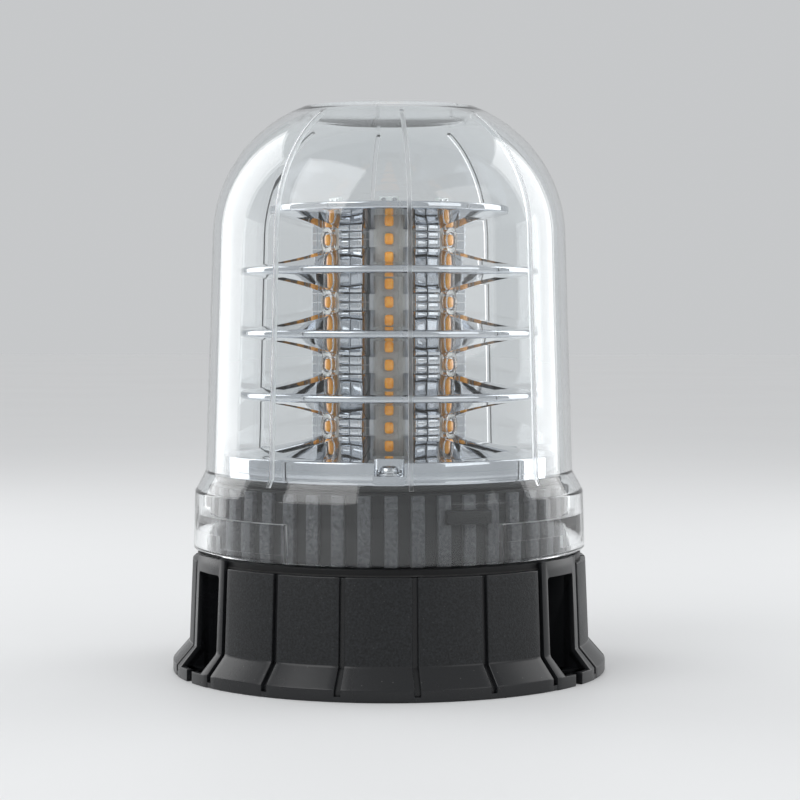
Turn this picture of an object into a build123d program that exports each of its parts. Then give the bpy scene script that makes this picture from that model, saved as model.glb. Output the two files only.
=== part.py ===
import os
from math import asin, atan2, cos, degrees, pi, sin, sqrt, tan

from build123d import *

# A warning beacon: a black three-bolt base, a ribbed black lamp socket, a chrome
# reflector tower with six columns of amber LEDs, and a clear lens that twists and
# lifts off. Millimetres, +Z up, origin at the centre of the foot's underside.
# Angles are counted from the front (-Y) towards +X.

# Mounting base: foot, flare, drum and its raised panels
drum_top_radius = 68.0
drum_draft = 1.3
foot_overhang = 5.7
foot_rim_height = 4.0
flare_height = 6.5
panel_top = 39.0
drum_wall = 3.0
floor_thickness = 4.0
groove_width = 1.8
groove_depth = 1.5
groove_stop = 1.8
panel_count = 5

# Bolt recesses in the base
bolt_count = 3
bolt_inset = 10.0
bolt_hole_radius = 3.5
bolt_slot_width = 4.4
recess_width = 17.2
recess_depth = 12.5
recess_height = 32.2
recess_wall = 2.4
recess_frame = 3.0
frame_rise = 2.5
recess_corner = 1.2

# Base cover, its seal and gasket
cover_edge_gap = 17.8
cover_thickness = 2.2
cover_inset = 0.3
cover_seal_thickness = 0.5
cover_lip_wall = 3.0
seal_inset = 0.2
cover_ledge = 7.2
cover_lip_thickness = 2.5
cover_hub_radius = 15.0
cover_hub_rise = 3.7
cover_screw_inset = 3.2
cover_screw_radius = 1.5
cover_screw_head_radius = 2.9
cover_screw_head_height = 1.6
cover_screw_length = 10.0
cover_boss_radius = 3.4
cover_boss_height = 8.0
gasket_gap = 2.3
gasket_width = 6.0
gasket_thickness = 1.2

# Cable inlet and breather
cable_bore_radius = 3.5
grommet_radius = 6.0
grommet_flange_radius = 8.5
grommet_flange_thickness = 1.8
grommet_sleeve_height = 6.0
vent_radius = 4.0
vent_cap_radius = 5.5
vent_cap_height = 2.0
vent_length = 5.0
vent_distance = 29.0
vent_slot_width = 1.0
grommet_taper = 1.0

# Lamp socket: flange, ribbed neck, deck and bayonet catches
socket_seal_thickness = 0.5
socket_seal_width = 1.2
flange_inset = 1.6
flange_thickness = 2.0
neck_gap = 4.6
neck_wall = 2.8
neck_height = 23.5
neck_rib_count = 45
neck_rib_width = 4.3
neck_rib_height = 1.8
neck_rib_stop = 0.8
neck_rib_lead = 1.0
neck_rib_turn = 3.5
deck_thickness = 2.5
deck_hole_radius = 12.0
catch_angle = 14.0
catch_height = 4.5

# Screws that hold the socket, the reflectors, the tower and the board
socket_screw_inset = 10.4
socket_screw_turn = 30.0
socket_screw_radius = 2.0
socket_screw_head_radius = 4.0
socket_screw_head_height = 2.4
socket_screw_length = 16.0
socket_pillar_radius = 4.5
reflector_screw_inset = 5.0
reflector_screw_radius = 1.75
reflector_screw_head_radius = 3.3
reflector_screw_head_height = 2.3
reflector_screw_boss_radius = 4.0
screw_boss_length = 5.5
washer_radius = 4.1
washer_thickness = 0.8
tower_screw_circle_radius = 26.0
tower_screw_radius = 1.5
tower_screw_head_radius = 2.8
tower_screw_head_height = 2.0
tower_boss_radius = 3.2
board_screw_circle_radius = 33.0
board_screw_radius = 1.25
board_screw_head_radius = 2.5
board_screw_head_height = 1.6
board_boss_radius = 3.5
board_boss_length = 8.9
top_screw_radius = 2.0
top_screw_head_radius = 3.9
top_screw_head_height = 2.6
top_screw_length = 12.0
drive_slot_radius = 1.1
drive_slot_depth = 1.0
pan_round = 0.6

# Reflector tower: tiers, fins, channels and pillars
reflector_turn = 2.9
column_count = 6
fin_count = 3
tier_gap = 19.0
fin_thickness = 2.2
fin_inset = 5.9
fin_edge_radius = 0.6
cone_apex_radius = 20.0
reflector_bore_radius = 22.6
skirt_inset = 2.9
skirt_rise = 10.0
skirt_wall = 2.0
notch_width = 9.7
notch_depth = 4.5
notch_length = 9.8
notch_corner = 1.5
cone_start_radius = 21.4
top_plate_inset = 10.1
top_plate_thickness = 2.4
channel_radius = 5.2
channel_distance = 24.5
channel_rim = 8.0
pillar_radius = 26.6
pillar_width = 9.4
pillar_corner = 1.7
pillar_rows = 7
pillar_line_width = 0.5
pillar_line_depth = 0.7

# Tower core and LED columns
core_apothem = 20.1
core_clearance = 0.3
core_bore_radius = 16.0
core_web_thickness = 9.0
lug_thickness = 3.0
lug_width = 9.0
lug_end = 5.0
base_board_thickness = 1.6
base_board_radius = 31.0
led_board_thickness = 1.6
led_board_width = 10.4
led_tip_width = 6.7
led_tip_rise = 2.5
led_tip_clearance = 0.3
led_spacing = 6.1
led_width = 3.6
led_height = 4.4
led_depth = 1.5
window_gap = 0.2
window_width = 8.4
window_thickness = 1.2
window_rail = 1.2
window_frame_height = 5.8
window_frame_step = 0.4
window_ring_radius = 4.5
window_ring_step = 1.1
window_eye_radius = 2.5
window_eye_moat = 0.5
led_round = 0.7

# Driver board and what stands on it
driver_board_radius = 39.0
driver_board_thickness = 1.6
capacitor_radius = 5.0
capacitor_height = 12.5
capacitor_edge = 0.8
capacitor_x = -23.0
capacitor_y = 6.0
inductor_size = 12.0
inductor_height = 7.0
inductor_corner = 2.4
inductor_y = 19.5
middle_x = -4.0
chip_length = 10.0
chip_width = 6.0
chip_height = 1.7
chip_edge = 0.3
transistor_width = 6.6
transistor_length = 9.5
transistor_height = 2.3
transistor_x = 16.0
transistor_pitch = 13.3
tab_length = 2.4
tab_width = 5.3
tab_thickness = 1.0
terminal_length = 16.0
terminal_width = 8.0
terminal_height = 10.0
terminal_y = -21.5
terminal_pitch = 5.3
terminal_port = 3.2
terminal_port_depth = 4.0
terminal_screw_radius = 1.6
terminal_edge = 1.5
connector_length = 12.0
connector_width = 6.0
connector_height = 6.4
connector_edge = 0.4

# Clear lens: collar, shoulder, dome, ribs and bayonet pads
lens_gap = 0.8
collar_inset = 0.1
collar_draft = 0.6
collar_height = 19.7
collar_wall = 2.9
collar_edge = 0.6
shoulder_height = 7.0
shoulder_width = 3.7
dome_draft = 2.6
dome_straight = 79.9
dome_arc_inset = 12.5
crown_inset = 30.2
crown_rise = 0.7
lens_wall = 2.4
crown_wall = 3.4
lens_rib_count = 8
lens_rib_width = 1.0
lens_rib_height = 1.0
lens_rib_turn = 9.4
lens_rib_stop = 23.5
pad_count = 3
pad_angle = 55.0
pad_turn = -55.6
pad_height = 12.0
pad_foot = 0.4
pad_step = 0.7
pad_line = 6.6
ramp_drop = 2.5

# Clearances, and how far a cutting shape reaches past what it cuts
over = 1.0
screw_clearance = 0.05
hole_clearance = 0.3
seat_clearance = 0.3
bayonet_clearance = 0.5
bayonet_side_gap = 3.5
pad_clearance = 0.6
seal_height = 1.8
seal_width = 1.8
seal_round = 0.5
seal_side_gap = 0.4

# Heights and radii that follow from the sizes above
drum_foot_radius = drum_top_radius + drum_draft
foot_radius = drum_foot_radius + foot_overhang
bolt_circle = 2 * (foot_radius - bolt_inset)
recess_depth_radius = drum_top_radius - recess_depth
cover_radius = drum_top_radius - cover_edge_gap
cover_opening_radius = cover_radius - cover_ledge
cover_screw_circle_radius = cover_radius - cover_screw_inset
gasket_inner_radius = cover_radius + gasket_gap
gasket_outer_radius = gasket_inner_radius + gasket_width
flange_radius = drum_top_radius - flange_inset
collar_foot_radius = drum_top_radius - collar_inset
collar_top_radius = collar_foot_radius - collar_draft
collar_inner_radius = collar_foot_radius - collar_wall
dome_foot_radius = collar_top_radius - shoulder_width
dome_top_radius = dome_foot_radius - dome_draft
dome_arc_radius = dome_top_radius - dome_arc_inset
crown_radius = dome_top_radius - crown_inset
neck_radius = collar_inner_radius - neck_gap
socket_screw_circle_radius = neck_radius - socket_screw_inset
skirt_radius = neck_radius - skirt_inset
reflector_screw_circle_radius = skirt_radius - reflector_screw_inset
fin_radius = skirt_radius - fin_inset
top_plate_radius = fin_radius - top_plate_inset
flare_top = foot_rim_height + flare_height
frame_top = panel_top + frame_rise
recess_ceiling = floor_thickness + recess_height
drum_inner_radius = drum_top_radius - drum_wall
lip_base = cover_inset + cover_thickness + cover_seal_thickness
flange_base = panel_top + socket_seal_thickness
flange_top = flange_base + flange_thickness
deck_top = flange_top + neck_height
deck_base = deck_top - deck_thickness
rib_radius = neck_radius + neck_rib_height
board_top = deck_base - board_boss_length
board_base = board_top - driver_board_thickness
skirt_top = deck_top + skirt_rise
tier_pitch = tier_gap + fin_thickness
top_plate_base = skirt_top + (fin_count + 1) * tier_gap + fin_count * fin_thickness
top_plate_top = top_plate_base + top_plate_thickness
notch_floor = skirt_top - notch_depth
core_base = deck_top + base_board_thickness
core_top = top_plate_base - core_clearance
board_face = core_apothem + led_board_thickness
window_back = board_face + led_depth + window_gap
window_face = window_back + window_thickness
lens_base = flange_top + lens_gap
collar_top = lens_base + collar_height
dome_foot = collar_top + shoulder_height
dome_spring = dome_foot + dome_straight
dome_arc_centre = dome_arc_inset
crown_edge = dome_spring + sqrt(dome_arc_radius ** 2 - (crown_radius - dome_arc_centre) ** 2)
pad_top = lens_base + pad_foot + pad_height
catch_base = pad_top + bayonet_clearance
catch_radius = collar_inner_radius - seat_clearance
frame_angle = degrees((recess_width / 2 + recess_frame) / drum_top_radius)
groove_angle = degrees(groove_width / drum_top_radius)
bolt_pitch = 360 / bolt_count
column_pitch = 360 / column_count

down = (Align.CENTER, Align.CENTER, Align.MAX)
up = (Align.CENTER, Align.CENTER, Align.MIN)


def turned(shape, angle):
    return Rot(0, 0, angle) * shape


def at_front(shape, radius, z=0.0):
    return Pos(0, -radius, z) * shape


def around(shape, count, turn=0.0):
    return [turned(shape, turn + 360 / count * k) for k in range(count)]


def disc(radius, z, height):
    return Pos(0, 0, z) * Cylinder(radius, height, align=up)


def tube(outer, inner, z, height):
    return disc(outer, z, height) - disc(inner, z, height)


def outline_face(points):
    return Plane.XZ * make_face(Polyline(*points, close=True))


def turned_solid(points):
    return revolve(outline_face(points), Axis.Z)


def sector(inner, outer, z, height, angle):
    corners = [(inner, z), (outer, z), (outer, z + height), (inner, z + height)]
    wedge = revolve(outline_face(corners), Axis.Z, revolution_arc=angle)
    return turned(wedge, -90 - angle / 2)


def block(width, inner, outer, z, height):
    depth = outer - inner
    return Pos(0, -(inner + outer) / 2, z) * Box(width, depth, height, align=up)


def pan_screw(head_radius, head_height, shank_radius, length):
    """A pan-head screw standing on z 0, with its shank below."""
    head = Cylinder(head_radius, head_height, align=up)
    head = fillet(head.edges().group_by(Axis.Z)[-1], head_height * pan_round)
    head -= Pos(0, 0, head_height) * Cylinder(drive_slot_radius, drive_slot_depth, align=down)
    return head + Cylinder(shank_radius, length, align=down)


# Mounting base
def drum_radius_at(z):
    share = (z - flare_top) / (frame_top - flare_top)
    return drum_foot_radius + (drum_top_radius - drum_foot_radius) * share


def base_body():
    body = turned_solid([
        (0, 0),
        (foot_radius, 0),
        (foot_radius, foot_rim_height),
        (drum_foot_radius, flare_top),
        (drum_radius_at(panel_top), panel_top),
        (0, panel_top),
    ])
    return body - disc(drum_inner_radius, floor_thickness, panel_top)


def groove_cutter(full):
    """One groove that follows the drum and the flare; a full one also cuts the rim."""
    low = -over if full else groove_stop
    far = foot_radius + over
    flare_lean = atan2(foot_radius - drum_foot_radius, flare_height)
    mitre = groove_depth * tan(flare_lean / 2)
    cutter = outline_face([
        (foot_radius - groove_depth, low),
        (far, low),
        (far, panel_top + over),
        (drum_radius_at(panel_top) - groove_depth, panel_top + over),
        (drum_foot_radius - groove_depth, flare_top - mitre),
        (foot_radius - groove_depth, foot_rim_height - mitre),
    ])
    return turned(extrude(cutter, groove_width / 2, both=True), -90)


def panel_grooves():
    first = frame_angle + groove_angle / 2
    pitch = (bolt_pitch - 2 * first) / panel_count
    cutters = []
    for side in range(bolt_count):
        start = bolt_pitch / 2 + side * bolt_pitch + first
        for k in range(panel_count + 1):
            at_end = k in (0, panel_count)
            cutters.append(turned(groove_cutter(at_end), start + k * pitch))
    return cutters


def recess_body():
    """The walls of one bolt recess, and the frame that rises beside the socket's flange."""
    wide = recess_width + 2 * recess_wall
    inner = recess_depth_radius - recess_wall
    ceiling = panel_top - recess_ceiling
    walls = block(wide, inner, drum_inner_radius + drum_wall / 2, floor_thickness,
                  recess_height + ceiling)
    tongue_inner = flange_radius + hole_clearance
    tongue = sector(tongue_inner, drum_top_radius, panel_top - over, frame_rise + over,
                    2 * frame_angle)
    return walls + tongue


def recess_void():
    reach = foot_radius + over
    void = block(recess_width, recess_depth_radius, reach, floor_thickness, recess_height)
    top = void.faces().sort_by(Axis.Z)[-1]
    long_edges = top.edges().filter_by(Axis.Y)
    return fillet(long_edges, recess_corner)


def bolt_cut():
    hole = at_front(Cylinder(bolt_hole_radius, 3 * floor_thickness), bolt_circle / 2)
    slot = block(bolt_slot_width, bolt_circle / 2, foot_radius + over, -over,
                 2 * floor_thickness)
    return hole + slot


def cover_boss():
    boss = Cylinder(cover_boss_radius, cover_boss_height + cover_lip_thickness, align=up)
    return at_front(boss, cover_screw_circle_radius, lip_base)


def make_mounting_base():
    turn = bolt_pitch / 2
    base = base_body()
    base += around(recess_body(), bolt_count, turn)
    base -= panel_grooves()
    base -= around(recess_void(), bolt_count, turn)
    base -= around(bolt_cut(), bolt_count, turn)
    seat_radius = cover_radius + hole_clearance
    base += disc(seat_radius + cover_lip_wall, lip_base, cover_lip_thickness)
    base -= disc(cover_opening_radius, -over, lip_base + cover_lip_thickness + 2 * over)
    base -= disc(seat_radius, -over, lip_base + over)
    base -= tube(gasket_outer_radius, gasket_inner_radius, 0, gasket_thickness)
    pillar = Cylinder(socket_pillar_radius, deck_base - floor_thickness, align=up)
    pillar = at_front(pillar, socket_screw_circle_radius, floor_thickness)
    base += around(pillar, bolt_count, socket_screw_turn)
    base += around(cover_boss(), bolt_count, turn)
    thread = Cylinder(socket_screw_radius + screw_clearance, socket_screw_length, align=down)
    thread = at_front(thread, socket_screw_circle_radius, deck_base + over)
    base -= around(thread, bolt_count, socket_screw_turn)
    cover_thread = Cylinder(cover_screw_radius + screw_clearance, cover_screw_length + over,
                            align=up)
    cover_thread = at_front(cover_thread, cover_screw_circle_radius, 0)
    base -= around(cover_thread, bolt_count, turn)
    return base


# Base cover and its fittings
def make_base_cover():
    top = cover_inset + cover_thickness
    hub_wall = cover_hub_radius - cover_thickness
    cover = turned_solid([
        (0, cover_inset + cover_hub_rise),
        (hub_wall, cover_inset + cover_hub_rise),
        (hub_wall, cover_inset),
        (cover_radius, cover_inset),
        (cover_radius, top),
        (cover_hub_radius, top),
        (cover_hub_radius, top + cover_hub_rise),
        (0, top + cover_hub_rise),
    ])
    cover -= disc(grommet_radius, 0, top + cover_hub_rise + over)
    cover -= at_front(Cylinder(vent_radius, 4 * cover_thickness), vent_distance, top)
    sink = Cone(cover_screw_head_radius, cover_screw_radius, cover_screw_head_height, align=up)
    sink = sink + Cylinder(cover_screw_radius + hole_clearance, 2 * cover_thickness, align=up)
    sink = at_front(sink, cover_screw_circle_radius, cover_inset)
    return cover - around(sink, bolt_count, bolt_pitch / 2)


def make_cover_screws():
    head = Cone(cover_screw_head_radius, cover_screw_radius, cover_screw_head_height, align=up)
    screw = head + Cylinder(cover_screw_radius, cover_screw_length, align=up)
    screw -= Cylinder(drive_slot_radius, drive_slot_depth, align=up)
    screw = at_front(screw, cover_screw_circle_radius, cover_inset)
    return around(screw, bolt_count, bolt_pitch / 2)


def make_cover_seal():
    z = cover_inset + cover_thickness
    inner = cover_opening_radius
    seal = tube(cover_radius, inner + seal_inset, z, cover_seal_thickness)
    hole = Cylinder(cover_screw_radius + hole_clearance, 4 * cover_seal_thickness)
    hole = at_front(hole, cover_screw_circle_radius, z)
    return seal - around(hole, bolt_count, bolt_pitch / 2)


def make_base_gasket():
    return tube(gasket_outer_radius, gasket_inner_radius, 0, gasket_thickness)


def make_cable_grommet():
    web_base = cover_inset + cover_hub_rise
    web_top = web_base + cover_thickness
    low = web_base - grommet_flange_thickness
    rim = web_top + grommet_flange_thickness
    return turned_solid([
        (cable_bore_radius, low),
        (grommet_flange_radius, low),
        (grommet_flange_radius, web_base),
        (grommet_radius, web_base),
        (grommet_radius, web_top),
        (grommet_flange_radius, web_top),
        (grommet_flange_radius - grommet_taper, rim),
        (grommet_radius, rim),
        (grommet_radius - grommet_taper, rim + grommet_sleeve_height),
        (cable_bore_radius, rim + grommet_sleeve_height),
    ])


def make_breather_vent():
    top = cover_inset + cover_thickness
    cap = Cylinder(vent_cap_radius, vent_cap_height, align=up)
    cap = fillet(cap.edges().group_by(Axis.Z)[-1], vent_cap_height / 3)
    plug = Pos(0, 0, -cover_thickness) * Cylinder(vent_radius, vent_length, align=up)
    slot = Pos(0, 0, vent_cap_height) * Box(2 * vent_radius, vent_slot_width, vent_slot_width)
    return at_front(cap + plug - slot, vent_distance, top)


# Lamp socket
def make_socket_seal():
    inner = drum_inner_radius + seal_inset
    return tube(inner + socket_seal_width, inner, panel_top, socket_seal_thickness)


def neck_ribs():
    height = deck_top - flange_top - neck_rib_stop
    rib = block(neck_rib_width, neck_radius - over, rib_radius, flange_top - over, height + over)
    top_front = rib.edges().group_by(Axis.Z)[-1].sort_by(Axis.Y)[0]
    rib = chamfer(top_front, neck_rib_lead)
    return around(rib, neck_rib_count, neck_rib_turn)


def bayonet_catches():
    lock_side = pad_turn - pad_angle / 2 - bayonet_side_gap - catch_angle / 2
    catch = sector(neck_radius - over, catch_radius, catch_base, catch_height, catch_angle)
    return around(catch, pad_count, lock_side)


def deck_holes():
    socket_hole = Cylinder(socket_screw_radius + hole_clearance, 3 * deck_thickness)
    socket_hole = at_front(socket_hole, socket_screw_circle_radius, deck_top)
    drill = 2 * (deck_thickness + screw_boss_length + over)
    reflector_hole = Cylinder(reflector_screw_radius + screw_clearance, drill)
    reflector_hole = at_front(reflector_hole, reflector_screw_circle_radius, deck_top)
    tower_hole = Cylinder(tower_screw_radius + screw_clearance, drill)
    tower_hole = at_front(tower_hole, tower_screw_circle_radius, deck_top)
    board_hole = Cylinder(board_screw_radius + screw_clearance, board_boss_length, align=up)
    board_hole = at_front(board_hole, board_screw_circle_radius, board_top - over)
    return (
        around(socket_hole, bolt_count, socket_screw_turn)
        + around(reflector_hole, bolt_count, reflector_turn)
        + around(tower_hole, bolt_count, reflector_turn + column_pitch / 2)
        + around(board_hole, bolt_count, bolt_pitch / 2)
    )


def make_lamp_socket():
    inner = neck_radius - neck_wall
    socket = tube(flange_radius, inner, flange_base, flange_thickness)
    socket += tube(neck_radius, inner, flange_base, deck_top - flange_base)
    socket += disc(neck_radius, deck_base, deck_thickness)
    socket += neck_ribs()
    socket += bayonet_catches()
    boss = at_front(Cylinder(reflector_screw_boss_radius, screw_boss_length + over, align=down),
                    reflector_screw_circle_radius, deck_base + over)
    socket += around(boss, bolt_count, reflector_turn)
    boss = at_front(Cylinder(tower_boss_radius, screw_boss_length + over, align=down),
                    tower_screw_circle_radius, deck_base + over)
    socket += around(boss, bolt_count, reflector_turn + column_pitch / 2)
    boss = at_front(Cylinder(board_boss_radius, board_boss_length + over, align=down),
                    board_screw_circle_radius, deck_base + over)
    socket += around(boss, bolt_count, bolt_pitch / 2)
    socket -= disc(deck_hole_radius, deck_base - over, deck_thickness + 2 * over)
    socket -= deck_holes()
    return socket


def make_socket_screws():
    screw = pan_screw(socket_screw_head_radius, socket_screw_head_height,
                      socket_screw_radius, socket_screw_length)
    screw = at_front(screw, socket_screw_circle_radius, deck_top)
    return around(screw, bolt_count, socket_screw_turn)


# Driver board, which hangs from the deck
def make_driver_board():
    board = disc(driver_board_radius, board_base, driver_board_thickness)
    hole = Cylinder(board_screw_radius + hole_clearance, 4 * driver_board_thickness)
    hole = at_front(hole, board_screw_circle_radius, board_base)
    return board - around(hole, bolt_count, bolt_pitch / 2)


def make_board_screws():
    screw = pan_screw(board_screw_head_radius, board_screw_head_height, board_screw_radius,
                      board_boss_length - over)
    screw = at_front(Rot(180, 0, 0) * screw, board_screw_circle_radius, board_base)
    return around(screw, bolt_count, bolt_pitch / 2)


def make_filter_capacitors():
    can = Pos(capacitor_x, 0, board_base) * Cylinder(capacitor_radius, capacitor_height, align=down)
    can = fillet(can.edges().group_by(Axis.Z)[0], capacitor_edge)
    return [Pos(0, -capacitor_y, 0) * can, Pos(0, capacitor_y, 0) * can]


def make_power_inductor():
    coil = Box(inductor_size, inductor_size, inductor_height, align=down)
    coil = fillet(coil.edges().filter_by(Axis.Z), inductor_corner)
    return Pos(middle_x, inductor_y, board_base) * coil


def make_control_chip():
    chip = Box(chip_length, chip_width, chip_height, align=down)
    chip = chamfer(chip.edges().group_by(Axis.Z)[0], chip_edge)
    return Pos(middle_x, 0, board_base) * chip


def make_driver_transistors():
    body = Box(transistor_width, transistor_length, transistor_height, align=down)
    tab = Box(tab_width, tab_length, tab_thickness, align=down)
    part = body + Pos(0, transistor_length / 2, 0) * tab
    return [Pos(transistor_x, k * transistor_pitch, board_base) * part for k in (-1, 0, 1)]


def make_terminal_block():
    body = Box(terminal_length, terminal_width, terminal_height, align=down)
    body = chamfer(body.edges().group_by(Axis.Z)[0].filter_by(Axis.X), terminal_edge)
    port = Box(terminal_port, 2 * terminal_port_depth, terminal_port)
    screw_well = Cylinder(terminal_screw_radius, terminal_edge)
    for k in (-1, 0, 1):
        x = k * terminal_pitch
        body -= Pos(x, -terminal_width / 2, -terminal_height / 2) * port
        body -= Pos(x, 0, -terminal_height) * screw_well
    return Pos(middle_x, terminal_y, board_base) * body


def make_board_connector():
    body = Box(connector_length, connector_width, connector_height, align=up)
    body = chamfer(body.edges().group_by(Axis.Z)[-1], connector_edge)
    return Pos(0, 0, board_top) * body


def make_tower_connector():
    base = board_top + connector_height
    body = Box(connector_length, connector_width, deck_top - base, align=up)
    return Pos(0, 0, base) * body


# Tower core and LED columns
def make_tower_base_board():
    board = disc(base_board_radius, deck_top, base_board_thickness)
    hole = Cylinder(tower_screw_radius + hole_clearance, 4 * base_board_thickness)
    hole = at_front(hole, tower_screw_circle_radius, deck_top)
    return board - around(hole, bolt_count, reflector_turn + column_pitch / 2)


def make_tower_core():
    height = core_top - core_base
    flat_radius = core_apothem / cos(pi / column_count)
    hexagon = RegularPolygon(flat_radius, column_count)
    body = Pos(0, 0, core_base) * extrude(hexagon, height)
    body = body & disc(reflector_bore_radius - core_clearance, core_base, height)
    body -= disc(core_bore_radius, core_base - over, height + over - core_web_thickness)
    reach = tower_screw_circle_radius + lug_end
    lug = block(lug_width, core_bore_radius + over, reach, core_base, lug_thickness)
    hole = at_front(Cylinder(tower_screw_radius + hole_clearance, 4 * lug_thickness),
                    tower_screw_circle_radius, core_base)
    body += around(lug - hole, bolt_count, column_pitch / 2)
    thread = Cylinder(top_screw_radius + screw_clearance, top_screw_length, align=down)
    body -= Pos(0, 0, core_top + over) * thread
    return turned(body, reflector_turn)


def make_tower_screws():
    length = base_board_thickness + lug_thickness + deck_thickness + screw_boss_length
    screw = pan_screw(tower_screw_head_radius, tower_screw_head_height, tower_screw_radius,
                      length)
    screw = at_front(screw, tower_screw_circle_radius, core_base + lug_thickness)
    return around(screw, bolt_count, reflector_turn + column_pitch / 2)


def tier_heights():
    return [skirt_top + tier_gap / 2 + k * tier_pitch for k in range(fin_count + 1)]


def led_heights():
    return [z + k * led_spacing for z in tier_heights() for k in (-1, 0, 1)]


def led_board():
    strip = block(led_board_width, core_apothem, board_face, core_base, core_top - core_base)
    tip_height = top_plate_top + led_tip_rise - core_top
    tip = block(led_tip_width, core_apothem, board_face, core_top, tip_height)
    return strip + tip


def led_chips():
    chip = block(led_width, board_face, board_face + led_depth, -led_height / 2, led_height)
    front = chip.faces().sort_by(Axis.Y)[0]
    chip = fillet(front.edges(), led_round)
    return [Pos(0, 0, z) * chip for z in led_heights()]


def window_eye(z):
    """The round lens ring before a tier's middle LED, with a small bull's-eye in it."""
    ring = Cylinder(window_ring_radius, window_thickness + window_ring_step, align=up)
    ring = fillet(ring.edges().group_by(Axis.Z)[-1], window_ring_step / 2)
    moat = Cylinder(window_eye_radius + window_eye_moat, 2 * window_ring_step, align=up)
    ring -= Pos(0, 0, window_thickness) * moat
    dome = Sphere(window_eye_radius) - Cylinder(window_ring_radius, window_ring_radius, align=down)
    dome -= Pos(0, 0, window_ring_step) * Cylinder(window_ring_radius, window_ring_radius, align=up)
    eye = Rot(90, 0, 0) * (ring + Pos(0, 0, window_thickness) * dome)
    return at_front(eye, window_back, z)


def led_window():
    low = core_base + over
    height = core_top - low - over
    strip = block(window_width, window_back, window_face, low, height)
    for side in (-1, 1):
        rail = block(window_rail, board_face, window_face, low, height)
        strip += Pos(side * (window_width - window_rail) / 2, 0, 0) * rail
    for z in tier_heights():
        strip += window_eye(z)
        for k in (-1, 1):
            z_low = z + k * led_spacing - window_frame_height / 2
            plate = block(window_width, window_back, window_face + window_frame_step, z_low,
                          window_frame_height)
            front = plate.faces().sort_by(Axis.Y)[0]
            strip += fillet(front.edges(), window_frame_step / 2)
    return strip


# Chrome reflectors
def half_gap(radius, rim_radius):
    return tier_gap / 2 * sqrt((radius - cone_apex_radius) / (rim_radius - cone_apex_radius))


def cone_line(z_mid, side, rim_radius, offset=0.0):
    """A reflector's curve from inside the bore to the rim: a parabola on its side."""
    near = half_gap(cone_start_radius, rim_radius)
    far = tier_gap / 2
    spread = (rim_radius - cone_apex_radius) / far ** 2
    middle_radius = cone_apex_radius + spread * near * far
    lift = side * offset
    return Bezier(
        (cone_start_radius, z_mid + side * near + lift),
        (middle_radius, z_mid + side * (near + far) / 2 + lift),
        (rim_radius, z_mid + side * far + lift),
    )


def face_of(curves):
    return Plane.XZ * make_face(Curve() + curves)


def pillars(z_low, z_high):
    """The six upright pillars between the LED columns, with fine level lines."""
    pillar = block(pillar_width, cone_apex_radius - over, pillar_radius, z_low, z_high - z_low)
    outer_edges = pillar.edges().filter_by(Axis.Z).sort_by(Axis.Y)[:2]
    pillar = chamfer(outer_edges, pillar_corner)
    rows = round((z_high - z_low) * pillar_rows / tier_pitch)
    for k in range(1, rows):
        z = z_low + k * (z_high - z_low) / rows - pillar_line_width / 2
        pillar -= block(pillar_width + over, pillar_radius - pillar_line_depth,
                        pillar_radius + over, z, pillar_line_width)
    return around(pillar, column_count, reflector_turn + column_pitch / 2)


def bored(shape, z_low, z_high, rim_radius):
    """A reflector with its bore and the LED channels, open to the front up to its rim."""
    height = z_high - z_low
    channel = at_front(Cylinder(channel_radius, height, align=up), channel_distance, z_low)
    channel += block(2 * channel_radius, channel_distance, rim_radius - channel_rim, z_low,
                     height)
    shape -= disc(reflector_bore_radius, z_low, height)
    return shape - around(channel, column_count, reflector_turn)


def make_reflector_ring(index):
    below = tier_heights()[index]
    above = tier_heights()[index + 1]
    lower = cone_line(below, 1, fin_radius)
    upper = cone_line(above, -1, fin_radius)
    rim = Line(lower @ 1, upper @ 1)
    bore = Line(upper @ 0, lower @ 0)
    ring = revolve(face_of([lower, rim, upper, bore]), Axis.Z)
    rim_edges = ring.edges().filter_by(GeomType.CIRCLE).sort_by(SortBy.RADIUS)[-2:]
    ring = fillet(rim_edges, fin_edge_radius)
    ring += pillars(below, above)
    return bored(ring, below - over, above + over, fin_radius)


def skirt_notch():
    inner = skirt_radius - notch_length
    cut = block(notch_width, inner, skirt_radius + over, notch_floor, notch_depth + over)
    side = cut.edges().filter_by(Axis.Z).sort_by(Axis.Y)[-2:]
    return fillet(side, notch_corner)


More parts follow.
